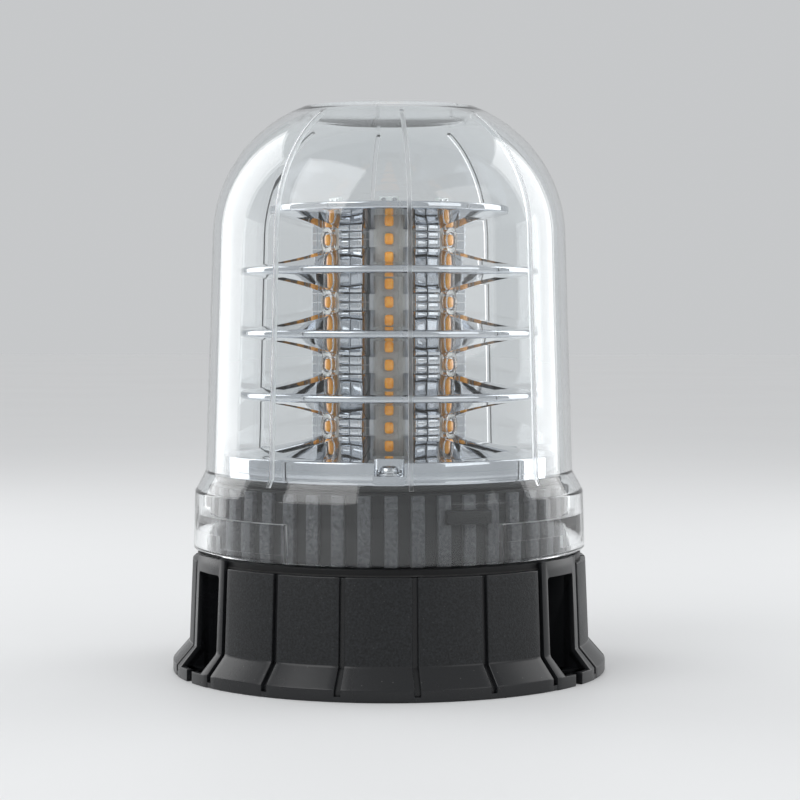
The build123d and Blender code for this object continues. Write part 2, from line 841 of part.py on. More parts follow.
def make_reflector_skirt():
    middle = tier_heights()[0]
    outer = cone_line(middle, -1, fin_radius)
    inner_radius = reflector_bore_radius + skirt_wall
    lip = Polyline(outer @ 1, (skirt_radius, skirt_top), (skirt_radius, deck_top),
                   (cone_start_radius, deck_top), outer @ 0)
    skirt = revolve(face_of([outer, lip]), Axis.Z)
    void = cone_line(middle, -1, fin_radius, skirt_wall)
    void_rim = skirt_radius - skirt_wall
    edge = Polyline(void @ 1, (void_rim, skirt_top - skirt_wall), (void_rim, deck_top - over),
                    (cone_start_radius, deck_top - over), void @ 0)
    hollow = revolve(face_of([void, edge]), Axis.Z)
    hub_base = core_base + lug_thickness + tower_screw_head_height + over
    hollow -= disc(inner_radius, hub_base, tier_pitch)
    skirt -= hollow
    seat = block(notch_width + 2 * skirt_wall, skirt_radius - notch_length - skirt_wall,
                 skirt_radius - skirt_wall / 2, deck_top, skirt_top - skirt_wall / 2 - deck_top)
    hub = disc(skirt_radius - skirt_wall / 2, deck_top, skirt_rise)
    skirt += [turned(seat, reflector_turn + bolt_pitch * k) & hub for k in range(bolt_count)]
    skirt += pillars(middle - half_gap(pillar_radius, fin_radius) - skirt_wall / 2, middle)
    skirt -= around(skirt_notch(), bolt_count, reflector_turn)
    hole = Cylinder(reflector_screw_radius + hole_clearance, 3 * skirt_rise)
    hole = at_front(hole, reflector_screw_circle_radius, deck_top)
    skirt -= around(hole, bolt_count, reflector_turn)
    return bored(skirt, deck_top - over, middle + over, fin_radius)


def make_reflector_top():
    middle = tier_heights()[-1]
    under = cone_line(middle, 1, top_plate_radius)
    edge = Polyline(under @ 1, (top_plate_radius, top_plate_top),
                    (cone_start_radius, top_plate_top), under @ 0)
    top = revolve(face_of([under, edge]), Axis.Z)
    rim_edges = top.edges().filter_by(GeomType.CIRCLE).sort_by(SortBy.RADIUS)[-2:]
    top = fillet(rim_edges, fin_edge_radius)
    top += pillars(middle, middle + half_gap(pillar_radius, top_plate_radius) + over)
    top = bored(top, middle - over, top_plate_base, top_plate_radius)
    top += disc(reflector_bore_radius + over, top_plate_base, top_plate_thickness)
    slot = block(led_tip_width + 2 * led_tip_clearance, core_apothem - led_tip_clearance,
                 board_face + led_tip_clearance, top_plate_base - over,
                 2 * top_plate_thickness)
    top -= around(slot, column_count, reflector_turn)
    return top - disc(top_screw_radius + hole_clearance, top_plate_base - over,
                      2 * top_plate_thickness)


def make_reflector_washers():
    washer = Cylinder(washer_radius, washer_thickness, align=up)
    washer -= Cylinder(reflector_screw_radius + hole_clearance, 3 * washer_thickness)
    washer = at_front(washer, reflector_screw_circle_radius, notch_floor)
    return around(washer, bolt_count, reflector_turn)


def make_reflector_screws():
    seat = notch_floor + washer_thickness
    length = seat - deck_base + screw_boss_length
    screw = pan_screw(reflector_screw_head_radius, reflector_screw_head_height,
                      reflector_screw_radius, length)
    screw = at_front(screw, reflector_screw_circle_radius, seat)
    return around(screw, bolt_count, reflector_turn)


def make_top_screw():
    screw = pan_screw(top_screw_head_radius, top_screw_head_height, top_screw_radius,
                      top_screw_length)
    return Pos(0, 0, top_plate_top) * screw


# Clear lens
def lens_outside():
    wall = Polyline((0, lens_base), (collar_foot_radius - collar_edge, lens_base),
                    (collar_foot_radius, lens_base + collar_edge),
                    (collar_top_radius, collar_top), (dome_foot_radius, dome_foot),
                    (dome_top_radius, dome_spring))
    arc = dome_arc(dome_arc_radius, crown_edge)
    crown = Bezier(arc @ 1, (crown_radius / 2, crown_edge + crown_rise),
                   (0, crown_edge + crown_rise))
    axis = Line(crown @ 1, (0, lens_base))
    return revolve(face_of([wall, arc, crown, axis]), Axis.Z)


def dome_arc(radius, z_end):
    """The dome's round, from its spring line up to the height z_end, as one cubic."""
    end = asin((z_end - dome_spring) / radius)
    pull = radius * 4 / 3 * tan(end / 4)
    last = Vector(dome_arc_centre + radius * cos(end), z_end)
    return Bezier(
        (dome_arc_centre + radius, dome_spring),
        (dome_arc_centre + radius, dome_spring + pull),
        last + Vector(sin(end), -cos(end)) * pull,
        last,
    )


def lens_inside(inset):
    """The space in the lens, made smaller all round by inset above the collar."""
    wall = lens_wall + inset
    ceiling = crown_edge + crown_rise - crown_wall - inset
    collar = collar_inner_radius - inset
    foot = lens_base - over
    sides = Polyline((0, foot), (collar, foot), (collar, collar_top),
                     (dome_foot_radius - wall, dome_foot), (dome_top_radius - wall, dome_spring))
    arc = dome_arc(dome_arc_radius - wall, ceiling)
    roof = Line(arc @ 1, (0, ceiling))
    axis = Line((0, ceiling), (0, foot))
    return revolve(face_of([sides, arc, roof, axis]), Axis.Z)


def lens_ribs():
    reach = dome_foot_radius
    low = lens_base + lens_rib_stop
    plate = block(lens_rib_width, crown_radius - lens_wall, reach, low, crown_edge - low)
    band = lens_inside(-lens_wall / 2) - lens_inside(lens_rib_height)
    return [turned(plate, lens_rib_turn + 360 / lens_rib_count * k) & band
            for k in range(lens_rib_count)]


def pad():
    """A bayonet pad: a raised land with a thinner foot and a sloping lead-in at one end."""
    inner = rib_radius + pad_clearance
    outer = collar_inner_radius + over
    low = lens_base + pad_foot
    half = pad_angle / 2
    land = sector(inner, outer, low, pad_height, pad_angle)
    foot = sector(inner - over, inner + pad_step, low - over, pad_line + over, half)
    land -= turned(foot, -half / 2)
    ramp = sector(inner - over, inner + pad_step, low - over, ramp_drop + over, half)
    return land - turned(ramp, half / 2)


def make_lens_dome():
    lens = lens_outside() - lens_inside(0)
    lens += lens_ribs()
    return lens + around(pad(), pad_count, pad_turn)


def make_lens_seal():
    inner = skirt_radius + seal_side_gap
    seal = tube(inner + seal_width, inner, deck_top + seat_clearance, seal_height)
    return fillet(seal.edges(), seal_round)


def save(name, shape):
    solids = shape if isinstance(shape, list) else [shape]
    if len(solids) > 1:
        shape = Compound(children=list(solids))
    else:
        shape = solids[0]
    export_step(shape, f"parts/{name}.step")


def main():
    os.makedirs("parts", exist_ok=True)
    save("mounting_base", make_mounting_base())
    save("base_cover", make_base_cover())
    save("cover_screws", make_cover_screws())
    save("cover_seal", make_cover_seal())
    save("base_gasket", make_base_gasket())
    save("cable_grommet", make_cable_grommet())
    save("breather_vent", make_breather_vent())
    save("socket_seal", make_socket_seal())
    save("lamp_socket", make_lamp_socket())
    save("socket_screws", make_socket_screws())
    save("driver_board", make_driver_board())
    save("board_screws", make_board_screws())
    save("filter_capacitors", make_filter_capacitors())
    save("power_inductor", make_power_inductor())
    save("control_chip", make_control_chip())
    save("driver_transistors", make_driver_transistors())
    save("terminal_block", make_terminal_block())
    save("board_connector", make_board_connector())
    save("tower_connector", make_tower_connector())
    save("tower_base_board", make_tower_base_board())
    save("tower_core", make_tower_core())
    save("tower_screws", make_tower_screws())
    board = led_board()
    chips = led_chips()
    window = led_window()
    for k in range(column_count):
        angle = reflector_turn + k * column_pitch
        save(f"led_board_{k + 1}", turned(board, angle))
        save(f"led_chips_{k + 1}", [turned(chip, angle) for chip in chips])
        save(f"led_lens_{k + 1}", turned(window, angle))
    save("reflector_skirt", make_reflector_skirt())
    for k in range(fin_count):
        save(f"reflector_ring_{k + 1}", make_reflector_ring(k))
    save("reflector_top", make_reflector_top())
    save("reflector_washers", make_reflector_washers())
    save("reflector_screws", make_reflector_screws())
    save("top_screw", make_top_screw())
    save("lens_seal", make_lens_seal())
    save("lens_dome", make_lens_dome())


main()
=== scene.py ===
import math

import bmesh
import bpy
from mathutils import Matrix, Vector


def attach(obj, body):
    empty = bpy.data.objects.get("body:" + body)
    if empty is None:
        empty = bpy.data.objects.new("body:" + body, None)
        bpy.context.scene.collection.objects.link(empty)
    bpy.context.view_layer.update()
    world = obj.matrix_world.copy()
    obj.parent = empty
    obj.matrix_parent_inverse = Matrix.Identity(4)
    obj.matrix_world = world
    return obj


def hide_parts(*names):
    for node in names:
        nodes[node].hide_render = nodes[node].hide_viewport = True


# Amber warning beacon. Sizes in the dictionaries are millimetres and degrees.
# A turn is counted from the front (-Y) towards +X.

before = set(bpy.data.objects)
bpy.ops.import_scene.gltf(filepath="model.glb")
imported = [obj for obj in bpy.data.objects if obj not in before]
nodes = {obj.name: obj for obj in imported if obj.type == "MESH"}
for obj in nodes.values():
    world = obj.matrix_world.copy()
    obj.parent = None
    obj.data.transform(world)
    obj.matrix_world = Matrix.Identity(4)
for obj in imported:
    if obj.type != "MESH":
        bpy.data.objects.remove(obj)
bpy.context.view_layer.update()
mm = 0.001


def leaveEdit():
    if bpy.context.object and bpy.context.object.mode != "OBJECT":
        bpy.ops.object.mode_set(mode="OBJECT")


def pickNone():
    leaveEdit()
    bpy.ops.object.select_all(action="DESELECT")


def pick(*pieces):
    pickNone()
    for piece in pieces:
        piece.select_set(True)
    bpy.context.view_layer.objects.active = pieces[0]


def pickMesh():
    # all of the active piece's mesh, in edit mode
    if bpy.context.object.mode != "EDIT":
        bpy.ops.object.mode_set(mode="EDIT")
    bpy.ops.mesh.select_all(action="SELECT")


def discard(*pieces):
    for piece in pieces:
        bpy.data.objects.remove(piece)


def fixPlace(piece):
    pick(piece)
    bpy.ops.object.transform_apply(location=True, rotation=True, scale=True)
    return piece


def cleanMesh(piece, gap=0.002):
    pick(piece)
    pickMesh()
    bpy.ops.mesh.remove_doubles(threshold=gap * mm)
    bpy.ops.mesh.normals_make_consistent(inside=False)
    leaveEdit()
    return piece


def roundCorners(points, radii, parts=4):
    # swaps each corner that has a radius for a short arc; radii is {corner number: radius}
    line = []
    for k, corner in enumerate(points):
        radius = radii.get(k, 0)
        if not radius:
            line.append(corner)
            continue
        here = Vector(corner)
        back = (Vector(points[k - 1]) - here).normalized()
        ahead = (Vector(points[(k + 1) % len(points)]) - here).normalized()
        half = back.angle(ahead) / 2
        centre = here + (back + ahead).normalized() * (radius / math.sin(half))
        first = here + back * (radius / math.tan(half)) - centre
        last = here + ahead * (radius / math.tan(half)) - centre
        swing = math.atan2(first.x * last.y - first.y * last.x, first.dot(last))
        for n in range(parts + 1):
            a = swing * n / parts
            x = first.x * math.cos(a) - first.y * math.sin(a)
            y = first.x * math.sin(a) + first.y * math.cos(a)
            line.append((centre.x + x, centre.y + y))
    return line


def drawProfile(name, points, closed=True):
    # a plane merged to one point, then extruded from point to point in the XZ plane
    pickNone()
    bpy.ops.mesh.primitive_plane_add(size=0.01, location=(0, 0, 0))
    piece = bpy.context.object
    piece.name = name
    pickMesh()
    bpy.ops.mesh.merge(type="CENTER")
    bpy.ops.transform.translate(value=(points[0][0] * mm, 0, points[0][1] * mm))
    path = list(points[1:]) + ([points[0]] if closed else [])
    at = points[0]
    for point in path:
        move = ((point[0] - at[0]) * mm, 0, (point[1] - at[1]) * mm)
        bpy.ops.mesh.extrude_vertices_move(TRANSFORM_OT_translate={"value": move})
        at = point
    pickMesh()
    bpy.ops.mesh.remove_doubles(threshold=0.0005 * mm)
    return piece


def ringSection(inner, outer, low, high):
    return [(inner, low), (outer, low), (outer, high), (inner, high)]


def spinRing(name, points, steps, closed=True):
    piece = drawProfile(name, points, closed)
    pickMesh()
    bpy.ops.mesh.spin(steps=steps, angle=math.tau, center=(0, 0, 0), axis=(0, 0, 1))
    return cleanMesh(piece)


def spinSector(name, points, steps, angle, turn=0.0):
    # a closed outline filled and swept through an angle, with its middle put at the turn
    piece = drawProfile(name, points)
    pickMesh()
    bpy.ops.mesh.edge_face_add()
    pickMesh()
    bpy.ops.mesh.spin(steps=steps, angle=math.radians(angle), center=(0, 0, 0), axis=(0, 0, 1))
    cleanMesh(piece)
    middle = sum((v.co for v in piece.data.vertices), Vector()) / len(piece.data.vertices)
    piece.rotation_euler.z = math.radians(turn - 90) - math.atan2(middle.y, middle.x)
    return fixPlace(piece)


def addBlock(name, width, inner, outer, low, high, bevel=0.0, segments=2):
    # a box at the front, from the inner to the outer distance and from low to high
    pickNone()
    centre = (0, -(inner + outer) / 2 * mm, (low + high) / 2 * mm)
    bpy.ops.mesh.primitive_cube_add(size=1, location=centre,
                                    scale=(width * mm, (outer - inner) * mm, (high - low) * mm))
    piece = bpy.context.object
    piece.name = name
    fixPlace(piece)
    if bevel:
        pickMesh()
        bpy.ops.mesh.bevel(offset=bevel * mm, segments=segments, affect="EDGES")
        leaveEdit()
    return piece


def addRod(name, radius, low, high, distance=0.0, sides=48):
    pickNone()
    centre = (0, -distance * mm, (low + high) / 2 * mm)
    bpy.ops.mesh.primitive_cylinder_add(vertices=sides, radius=radius * mm,
                                        depth=(high - low) * mm, location=centre)
    piece = bpy.context.object
    piece.name = name
    return fixPlace(piece)


def copyTurned(piece, turn, rise=0.0):
    pick(piece)
    bpy.ops.object.duplicate(linked=False)
    copy = bpy.context.object
    copy.rotation_euler.z = math.radians(turn)
    copy.location.z = rise * mm
    return fixPlace(copy)


def turnAll(piece, count, turn=0.0):
    # copies in the piece's place, evenly round the axis with the first at the turn, joined
    copies = [copyTurned(piece, turn + 360 / count * k) for k in range(count)]
    discard(piece)
    return joinPieces(copies)


def joinPieces(pieces):
    pick(*pieces)
    if len(pieces) > 1:
        bpy.ops.object.join()
    return bpy.context.object


def applyChange(piece, kind, **settings):
    pick(piece)
    bpy.ops.object.modifier_add(type=kind)
    change = piece.modifiers[-1]
    for label, value in settings.items():
        setattr(change, label, value)
    bpy.ops.object.modifier_apply(modifier=change.name)
    return piece


def carve(piece, cutter, operation="DIFFERENCE"):
    applyChange(piece, "BOOLEAN", operation=operation, solver="EXACT", use_self=False,
                object=cutter)
    discard(cutter)
    return piece


def softenEdges(piece, width, segments=2, angle=40):
    return applyChange(piece, "BEVEL", width=width * mm, segments=segments, limit_method="ANGLE",
                       angle_limit=math.radians(angle), harden_normals=False)


def bevelChosen(piece, width, segments, chooser):
    # bevels each edge whose two ends, in millimetres, the chooser accepts
    pick(piece)
    bpy.ops.object.mode_set(mode="EDIT")
    bpy.ops.mesh.select_all(action="DESELECT")
    mesh = bmesh.from_edit_mesh(piece.data)
    for edge in mesh.edges:
        a, b = (vert.co / mm for vert in edge.verts)
        if chooser(a, b):
            edge.select_set(True)
    bmesh.update_edit_mesh(piece.data)
    bpy.ops.mesh.bevel(offset=width * mm, segments=segments, affect="EDGES")
    leaveEdit()
    return piece


def smoothShade(piece, angle):
    pick(piece)
    bpy.ops.object.shade_smooth_by_angle(angle=math.radians(angle))
    return piece


def dress(piece, name, body, materials, replaced):
    piece.name = name
    piece.data.name = name
    for material in materials:
        piece.data.materials.append(material)
    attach(piece, body)
    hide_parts(*replaced)
    return piece


def paintFaces(piece, materials, chooser=lambda c, n: 0):
    # each face takes the material whose number the chooser gives for its centre and normal
    piece.data.materials.clear()
    for material in materials:
        piece.data.materials.append(material)
    for face in piece.data.polygons:
        face.material_index = chooser(face.center / mm, face.normal)


def newGroup(name, inputs, outputs):
    # an input without a value is a vector, and the rest are plain numbers
    group = bpy.data.node_groups.new(name, "ShaderNodeTree")
    for label, value in inputs.items():
        kind = "NodeSocketVector" if value is None else "NodeSocketFloat"
        socket = group.interface.new_socket(name=label, in_out="INPUT", socket_type=kind)
        if value is not None:
            socket.default_value = value
    for label in outputs:
        group.interface.new_socket(name=label, in_out="OUTPUT", socket_type="NodeSocketFloat")
    return group, group.nodes.new("NodeGroupInput"), group.nodes.new("NodeGroupOutput")


def setSockets(tree, node, values):
    # a socket's value may also be another node's output, which is linked
    for socket, value in values.items():
        if isinstance(value, bpy.types.NodeSocket):
            tree.links.new(value, node.inputs[socket])
        else:
            node.inputs[socket].default_value = value


def addNode(tree, kind, values=None, **settings):
    node = tree.nodes.new("ShaderNode" + kind)
    for label, value in settings.items():
        setattr(node, label, value)
    setSockets(tree, node, values or {})
    return node


def remap(tree, value, low, high, first=0.0, last=1.0):
    ends = {"From Min": low, "From Max": high, "To Min": first, "To Max": last}
    return addNode(tree, "MapRange", {"Value": value, **ends}).outputs["Result"]


def reckon(tree, operation, *values):
    return addNode(tree, "Math", dict(enumerate(values)), operation=operation).outputs[0]


def makeSparkGrain():
    # the fine pitted skin that a spark-eroded mould leaves
    group, given, result = newGroup("sparkGrain", {"Vector": None, "Grain": 1.0},
                                    ["Height", "Tone"])
    place, size = given.outputs["Vector"], given.outputs["Grain"]
    fine = addNode(group, "TexNoise", {"Vector": place, "Scale": size, "Detail": 3,
                                       "Roughness": 0.62}).outputs[0]
    pits = addNode(group, "TexVoronoi", {"Vector": place,
                                         "Scale": reckon(group, "MULTIPLY", size, 1.7)})
    height = reckon(group, "MULTIPLY_ADD", pits.outputs["Distance"], 0.55, fine)
    setSockets(group, result, {"Height": height, "Tone": remap(group, fine, 0.35, 0.75)})
    return group


def makeHandling():
    # cloudy patches from handling, with a few long faint rubs
    group, given, result = newGroup("handlingMarks", {"Vector": None, "Size": 30.0},
                                    ["Cloud", "Rub"])
    place, size = given.outputs["Vector"], given.outputs["Size"]
    cloud = addNode(group, "TexNoise", {"Vector": place, "Scale": size, "Detail": 5})
    lie = addNode(group, "Mapping", {"Vector": place, "Rotation": (0.5, 0.9, 0.3),
                                     "Scale": (40.0, 900.0, 900.0)})
    rub = addNode(group, "TexNoise", {"Vector": lie.outputs["Vector"], "Scale": 1.0, "Detail": 2})
    setSockets(group, result, {"Cloud": remap(group, cloud.outputs[0], 0.38, 0.68),
                               "Rub": remap(group, rub.outputs[0], 0.66, 0.8)})
    return group


def makeDust():
    # sparse specks of dust that lie on top of things
    group, given, result = newGroup("dustSpecks", {"Vector": None, "Normal": None, "Amount": 0.5},
                                    ["Mask"])
    speck = addNode(group, "TexVoronoi", {"Vector": given.outputs["Vector"], "Scale": 420})
    near = remap(group, speck.outputs["Distance"], 0.1, 0.05)
    apart = addNode(group, "SeparateXYZ", {0: given.outputs["Normal"]})
    upward = remap(group, apart.outputs["Z"], 0.0, 0.9, 0.12)
    lying = reckon(group, "MULTIPLY", near, upward)
    mask = reckon(group, "MULTIPLY", lying, given.outputs["Amount"])
    setSockets(group, result, {"Mask": mask})
    return group


sparkGrain = makeSparkGrain()
handlingMarks = makeHandling()
dustSpecks = makeDust()


def startMaterial(name, values=None):
    material = bpy.data.materials.new(name)
    material.use_nodes = True
    tree = material.node_tree
    shader = tree.nodes["Principled BSDF"]
    setSockets(tree, shader, values or {})
    return material, tree, shader, addNode(tree, "TexCoord").outputs["Object"]


def addEffect(tree, group, place, **values):
    effect = addNode(tree, "Group", node_tree=group)
    if "Normal" in effect.inputs:
        values["Normal"] = addNode(tree, "NewGeometry").outputs["Normal"]
    setSockets(tree, effect, {"Vector": place, **values})
    return effect


def blend(tree, mask, low, high):
    # a colour between two, by a mask
    low, high = (value if isinstance(value, bpy.types.NodeSocket) else (*value, 1.0)
                 for value in (low, high))
    return addNode(tree, "Mix", {0: mask, 6: low, 7: high}, data_type="RGBA").outputs[2]


def setSkin(tree, shader, colour, mask, look):
    # the base colour, and a roughness between the look's two by a mask
    rough = remap(tree, mask, 0.0, 1.0, *look["rough"])
    setSockets(tree, shader, {"Base Color": colour, "Roughness": rough})


def addBump(tree, shader, height, strength, distance, below=None):
    bump = addNode(tree, "Bump", {"Strength": strength, "Distance": distance * mm,
                                  "Height": height})
    if below is not None:
        tree.links.new(below, bump.inputs["Normal"])
    tree.links.new(bump.outputs["Normal"], shader.inputs["Normal"])
    return bump.outputs["Normal"]


def addWaves(tree, shader, place, look, strength):
    # the slow unevenness of a moulded or plated face
    scale, depth = look["waves"]
    noise = addNode(tree, "TexNoise", {"Vector": place, "Scale": scale, "Detail": 1})
    return addBump(tree, shader, noise.outputs[0], strength, depth)


def mouldedPlastic(name, look):
    material, tree, shader, place = startMaterial(name, {"Specular IOR Level": look["gloss"]})
    grain = addEffect(tree, sparkGrain, place, Grain=look["grain"])
    marks = addEffect(tree, handlingMarks, place, Size=look["cloudSize"])
    dust = addEffect(tree, dustSpecks, place, Amount=look["dust"])
    skin = blend(tree, grain.outputs["Tone"], look["dark"], look["light"])
    dusty = blend(tree, dust.outputs["Mask"], skin, (0.34, 0.34, 0.33))
    setSkin(tree, shader, dusty, marks.outputs["Cloud"], look)
    addBump(tree, shader, grain.outputs["Height"], *look["bump"])
    return material


def chromePlate(name, look):
    material, tree, shader, place = startMaterial(name, {"Metallic": 1.0})
    marks = addEffect(tree, handlingMarks, place, Size=look["cloudSize"])
    grain = addEffect(tree, sparkGrain, place, Grain=look["grain"])
    dust = addEffect(tree, dustSpecks, place, Amount=look["dust"])
    tone = blend(tree, marks.outputs["Cloud"], look["light"], look["dark"])
    dusty = blend(tree, dust.outputs["Mask"], tone, (0.6, 0.6, 0.58))
    setSkin(tree, shader, dusty, marks.outputs["Cloud"], look)
    waves = addWaves(tree, shader, place, look, 0.5)
    addBump(tree, shader, grain.outputs["Height"], 0.1, look["pitDepth"], waves)
    return material


def clearPlastic(name, look):
    material, tree, shader, place = startMaterial(
        name, {"Transmission Weight": 1.0, "IOR": look["ior"]})
    marks = addEffect(tree, handlingMarks, place, Size=look["cloudSize"])
    tint = blend(tree, marks.outputs["Cloud"], look["light"], look["dark"])
    setSkin(tree, shader, tint, marks.outputs["Rub"], look)
    addWaves(tree, shader, place, look, 0.35)
    # lamp light goes through to what is inside
    passing = addNode(tree, "BsdfTransparent", {"Color": (*look["passing"], 1.0)})
    rays = addNode(tree, "LightPath")
    mix = addNode(tree, "MixShader", {0: rays.outputs["Is Shadow Ray"], 1: shader.outputs[0],
                                      2: passing.outputs[0]})
    tree.links.new(mix.outputs[0], tree.nodes["Material Output"].inputs["Surface"])
    return material


def simpleFinish(name, look):
    # metals, boards and rubbers: a base tone with grain, clouds and rubs
    material, tree, shader, place = startMaterial(
        name, {"Metallic": look.get("metal", 0.0), "Coat Weight": look.get("coat", 0.0),
               "Coat Roughness": 0.12})
    grain = addEffect(tree, sparkGrain, place, Grain=look["grain"])
    marks = addEffect(tree, handlingMarks, place, Size=look["cloudSize"])
    tone = blend(tree, marks.outputs["Cloud"], look["dark"], look["light"])
    rubbed = blend(tree, marks.outputs["Rub"], tone, look["rub"])
    setSkin(tree, shader, rubbed, grain.outputs["Tone"], look)
    addBump(tree, shader, grain.outputs["Height"], *look["bump"])
    return material


def circuitBoard(name, look):
    # solder mask with tracks under it
    material, tree, shader, place = startMaterial(
        name, {"Coat Weight": 0.35, "Coat Roughness": 0.18})
    marks = addEffect(tree, handlingMarks, place, Size=60)
    mask = blend(tree, marks.outputs["Cloud"], look["dark"], look["light"])
    track = addNode(tree, "TexBrick", {"Vector": place, "Scale": look["trackScale"],
                                       "Mortar Size": 0.012, "Mortar Smooth": 0.2})
    tracked = blend(tree, track.outputs["Fac"], mask, look["track"])
    setSkin(tree, shader, tracked, marks.outputs["Cloud"], look)
    addBump(tree, shader, track.outputs["Fac"], 0.5, 0.03)
    return material


def amberCap(name, look):
    # phosphor under a clear cap: deeper at the edge, yellow where it is thick, with a small
    # emission that is a painted glow, as the LEDs are unlit
    material, tree, shader, place = startMaterial(
        name, {"Coat Weight": 1.0, "Coat Roughness": 0.05, "Subsurface Weight": 0.15,
               "Subsurface Radius": (0.0012, 0.0006, 0.0002),
               "Emission Color": (*look["paintedGlow"], 1.0), "Emission Strength": look["paintedGlowStrength"]})
    grain = addEffect(tree, sparkGrain, place, Grain=look["grain"])
    tone = blend(tree, grain.outputs["Tone"], look["dark"], look["light"])
    setSkin(tree, shader, tone, grain.outputs["Tone"], look)
    addBump(tree, shader, grain.outputs["Height"], 0.2, 0.02)
    return material


housingSpark = mouldedPlastic("housingSpark", {
    "gloss": 0.3, "grain": 1400, "cloudSize": 26, "dust": 0.3, "dark": (0.006, 0.0065, 0.007),
    "light": (0.02, 0.022, 0.025), "rough": (0.4, 0.5), "bump": (0.55, 0.12)})
housingSatin = mouldedPlastic("housingSatin", {
    "gloss": 0.42, "grain": 2600, "cloudSize": 22, "dust": 0.25, "dark": (0.007, 0.0075, 0.0085),
    "light": (0.012, 0.013, 0.015), "rough": (0.25, 0.34), "bump": (0.16, 0.03)})
# the socket's one black plastic comes in two copies: a darker one for the neck and catches, as
# painted shade, and a lighter one for the ribs, as a painted highlight
socketBlackPaintedShade = mouldedPlastic("socketBlackPaintedShade", {
    "gloss": 0.25, "grain": 1800, "cloudSize": 30, "dust": 0.1, "dark": (0.003, 0.003, 0.0035),
    "light": (0.007, 0.0075, 0.008), "rough": (0.4, 0.5), "bump": (0.3, 0.05)})
socketRibsPaintedHighlight = mouldedPlastic("socketRibsPaintedHighlight", {
    "gloss": 0.35, "grain": 900, "cloudSize": 30, "dust": 0.3, "dark": (0.035, 0.036, 0.039),
    "light": (0.125, 0.129, 0.137), "rough": (0.38, 0.5), "bump": (0.7, 0.16)})
reflectorChrome = chromePlate("reflectorChrome", {
    "grain": 1800, "cloudSize": 34, "dust": 0.25, "light": (0.68, 0.7, 0.73),
    "dark": (0.56, 0.58, 0.61), "rough": (0.015, 0.05), "waves": (90, 0.05), "pitDepth": 0.01})
clearLens = clearPlastic("clearLens", {
    "ior": 1.5, "cloudSize": 18, "light": (0.97, 0.985, 0.99), "dark": (0.94, 0.965, 0.975),
    "rough": (0.0, 0.05), "waves": (45, 0.06), "passing": (0.93, 0.95, 0.96)})
windowClear = clearPlastic("windowClear", {
    "ior": 1.49, "cloudSize": 120, "light": (0.96, 0.97, 0.97), "dark": (0.9, 0.91, 0.91),
    "rough": (0.03, 0.1), "waves": (240, 0.02), "passing": (0.95, 0.96, 0.96)})
lensFrost = clearPlastic("lensFrost", {
    "ior": 1.5, "cloudSize": 90, "light": (1.0, 1.0, 1.0), "dark": (0.95, 0.97, 0.98),
    "rough": (0.3, 0.42), "waves": (300, 0.04), "passing": (0.9, 0.92, 0.93)})
windowEdge = clearPlastic("windowEdge", {
    "ior": 1.5, "cloudSize": 120, "light": (0.62, 0.65, 0.67), "dark": (0.5, 0.53, 0.55),
    "rough": (0.2, 0.32), "waves": (300, 0.04), "passing": (0.75, 0.77, 0.78)})
steelZinc = simpleFinish("steelZinc", {
    "metal": 1.0, "grain": 2200, "cloudSize": 90, "dark": (0.5, 0.51, 0.53),
    "light": (0.68, 0.69, 0.7), "rub": (0.78, 0.78, 0.76), "rough": (0.16, 0.3),
    "bump": (0.15, 0.02)})
coreAluminium = simpleFinish("coreAluminium", {
    "metal": 1.0, "grain": 1500, "cloudSize": 40, "dark": (0.6, 0.61, 0.63),
    "light": (0.72, 0.73, 0.75), "rub": (0.8, 0.8, 0.8), "rough": (0.3, 0.45),
    "bump": (0.2, 0.03)})
sealRubber = simpleFinish("sealRubber", {
    "grain": 1100, "cloudSize": 45, "dark": (0.012, 0.012, 0.012), "light": (0.024, 0.024, 0.024),
    "rub": (0.05, 0.05, 0.05), "rough": (0.6, 0.8), "bump": (0.35, 0.06)})
capacitorCan = simpleFinish("capacitorCan", {
    "metal": 1.0, "grain": 1900, "cloudSize": 70, "dark": (0.5, 0.52, 0.56),
    "light": (0.66, 0.68, 0.7), "rub": (0.75, 0.75, 0.75), "rough": (0.22, 0.34),
    "bump": (0.1, 0.02)})
ferriteGrey = simpleFinish("ferriteGrey", {
    "grain": 1500, "cloudSize": 60, "dark": (0.07, 0.07, 0.07), "light": (0.13, 0.13, 0.13),
    "rub": (0.2, 0.2, 0.2), "rough": (0.5, 0.65), "bump": (0.4, 0.06)})
chipBlack = simpleFinish("chipBlack", {
    "grain": 2400, "cloudSize": 80, "dark": (0.02, 0.02, 0.02), "light": (0.035, 0.035, 0.035),
    "rub": (0.08, 0.08, 0.08), "rough": (0.42, 0.55), "bump": (0.3, 0.03)})
terminalGreen = simpleFinish("terminalGreen", {
    "coat": 0.3, "grain": 1700, "cloudSize": 70, "dark": (0.03, 0.17, 0.07),
    "light": (0.05, 0.24, 0.1), "rub": (0.1, 0.3, 0.16), "rough": (0.3, 0.42),
    "bump": (0.15, 0.02)})
connectorNylon = simpleFinish("connectorNylon", {
    "grain": 1600, "cloudSize": 60, "dark": (0.68, 0.64, 0.54), "light": (0.78, 0.75, 0.66),
    "rub": (0.84, 0.82, 0.75), "rough": (0.4, 0.52), "bump": (0.2, 0.03)})
ledCeramic = simpleFinish("ledCeramic", {
    "coat": 0.2, "grain": 2600, "cloudSize": 200, "dark": (0.72, 0.73, 0.72),
    "light": (0.82, 0.83, 0.82), "rub": (0.86, 0.86, 0.86), "rough": (0.35, 0.5),
    "bump": (0.15, 0.02)})
boardWhite = circuitBoard("boardWhite", {
    "dark": (0.68, 0.7, 0.69), "light": (0.78, 0.8, 0.78), "track": (0.6, 0.63, 0.6),
    "trackScale": 60, "rough": (0.32, 0.45)})
boardGreen = circuitBoard("boardGreen", {
    "dark": (0.02, 0.13, 0.06), "light": (0.035, 0.18, 0.09), "track": (0.06, 0.25, 0.12),
    "trackScale": 90, "rough": (0.32, 0.45)})
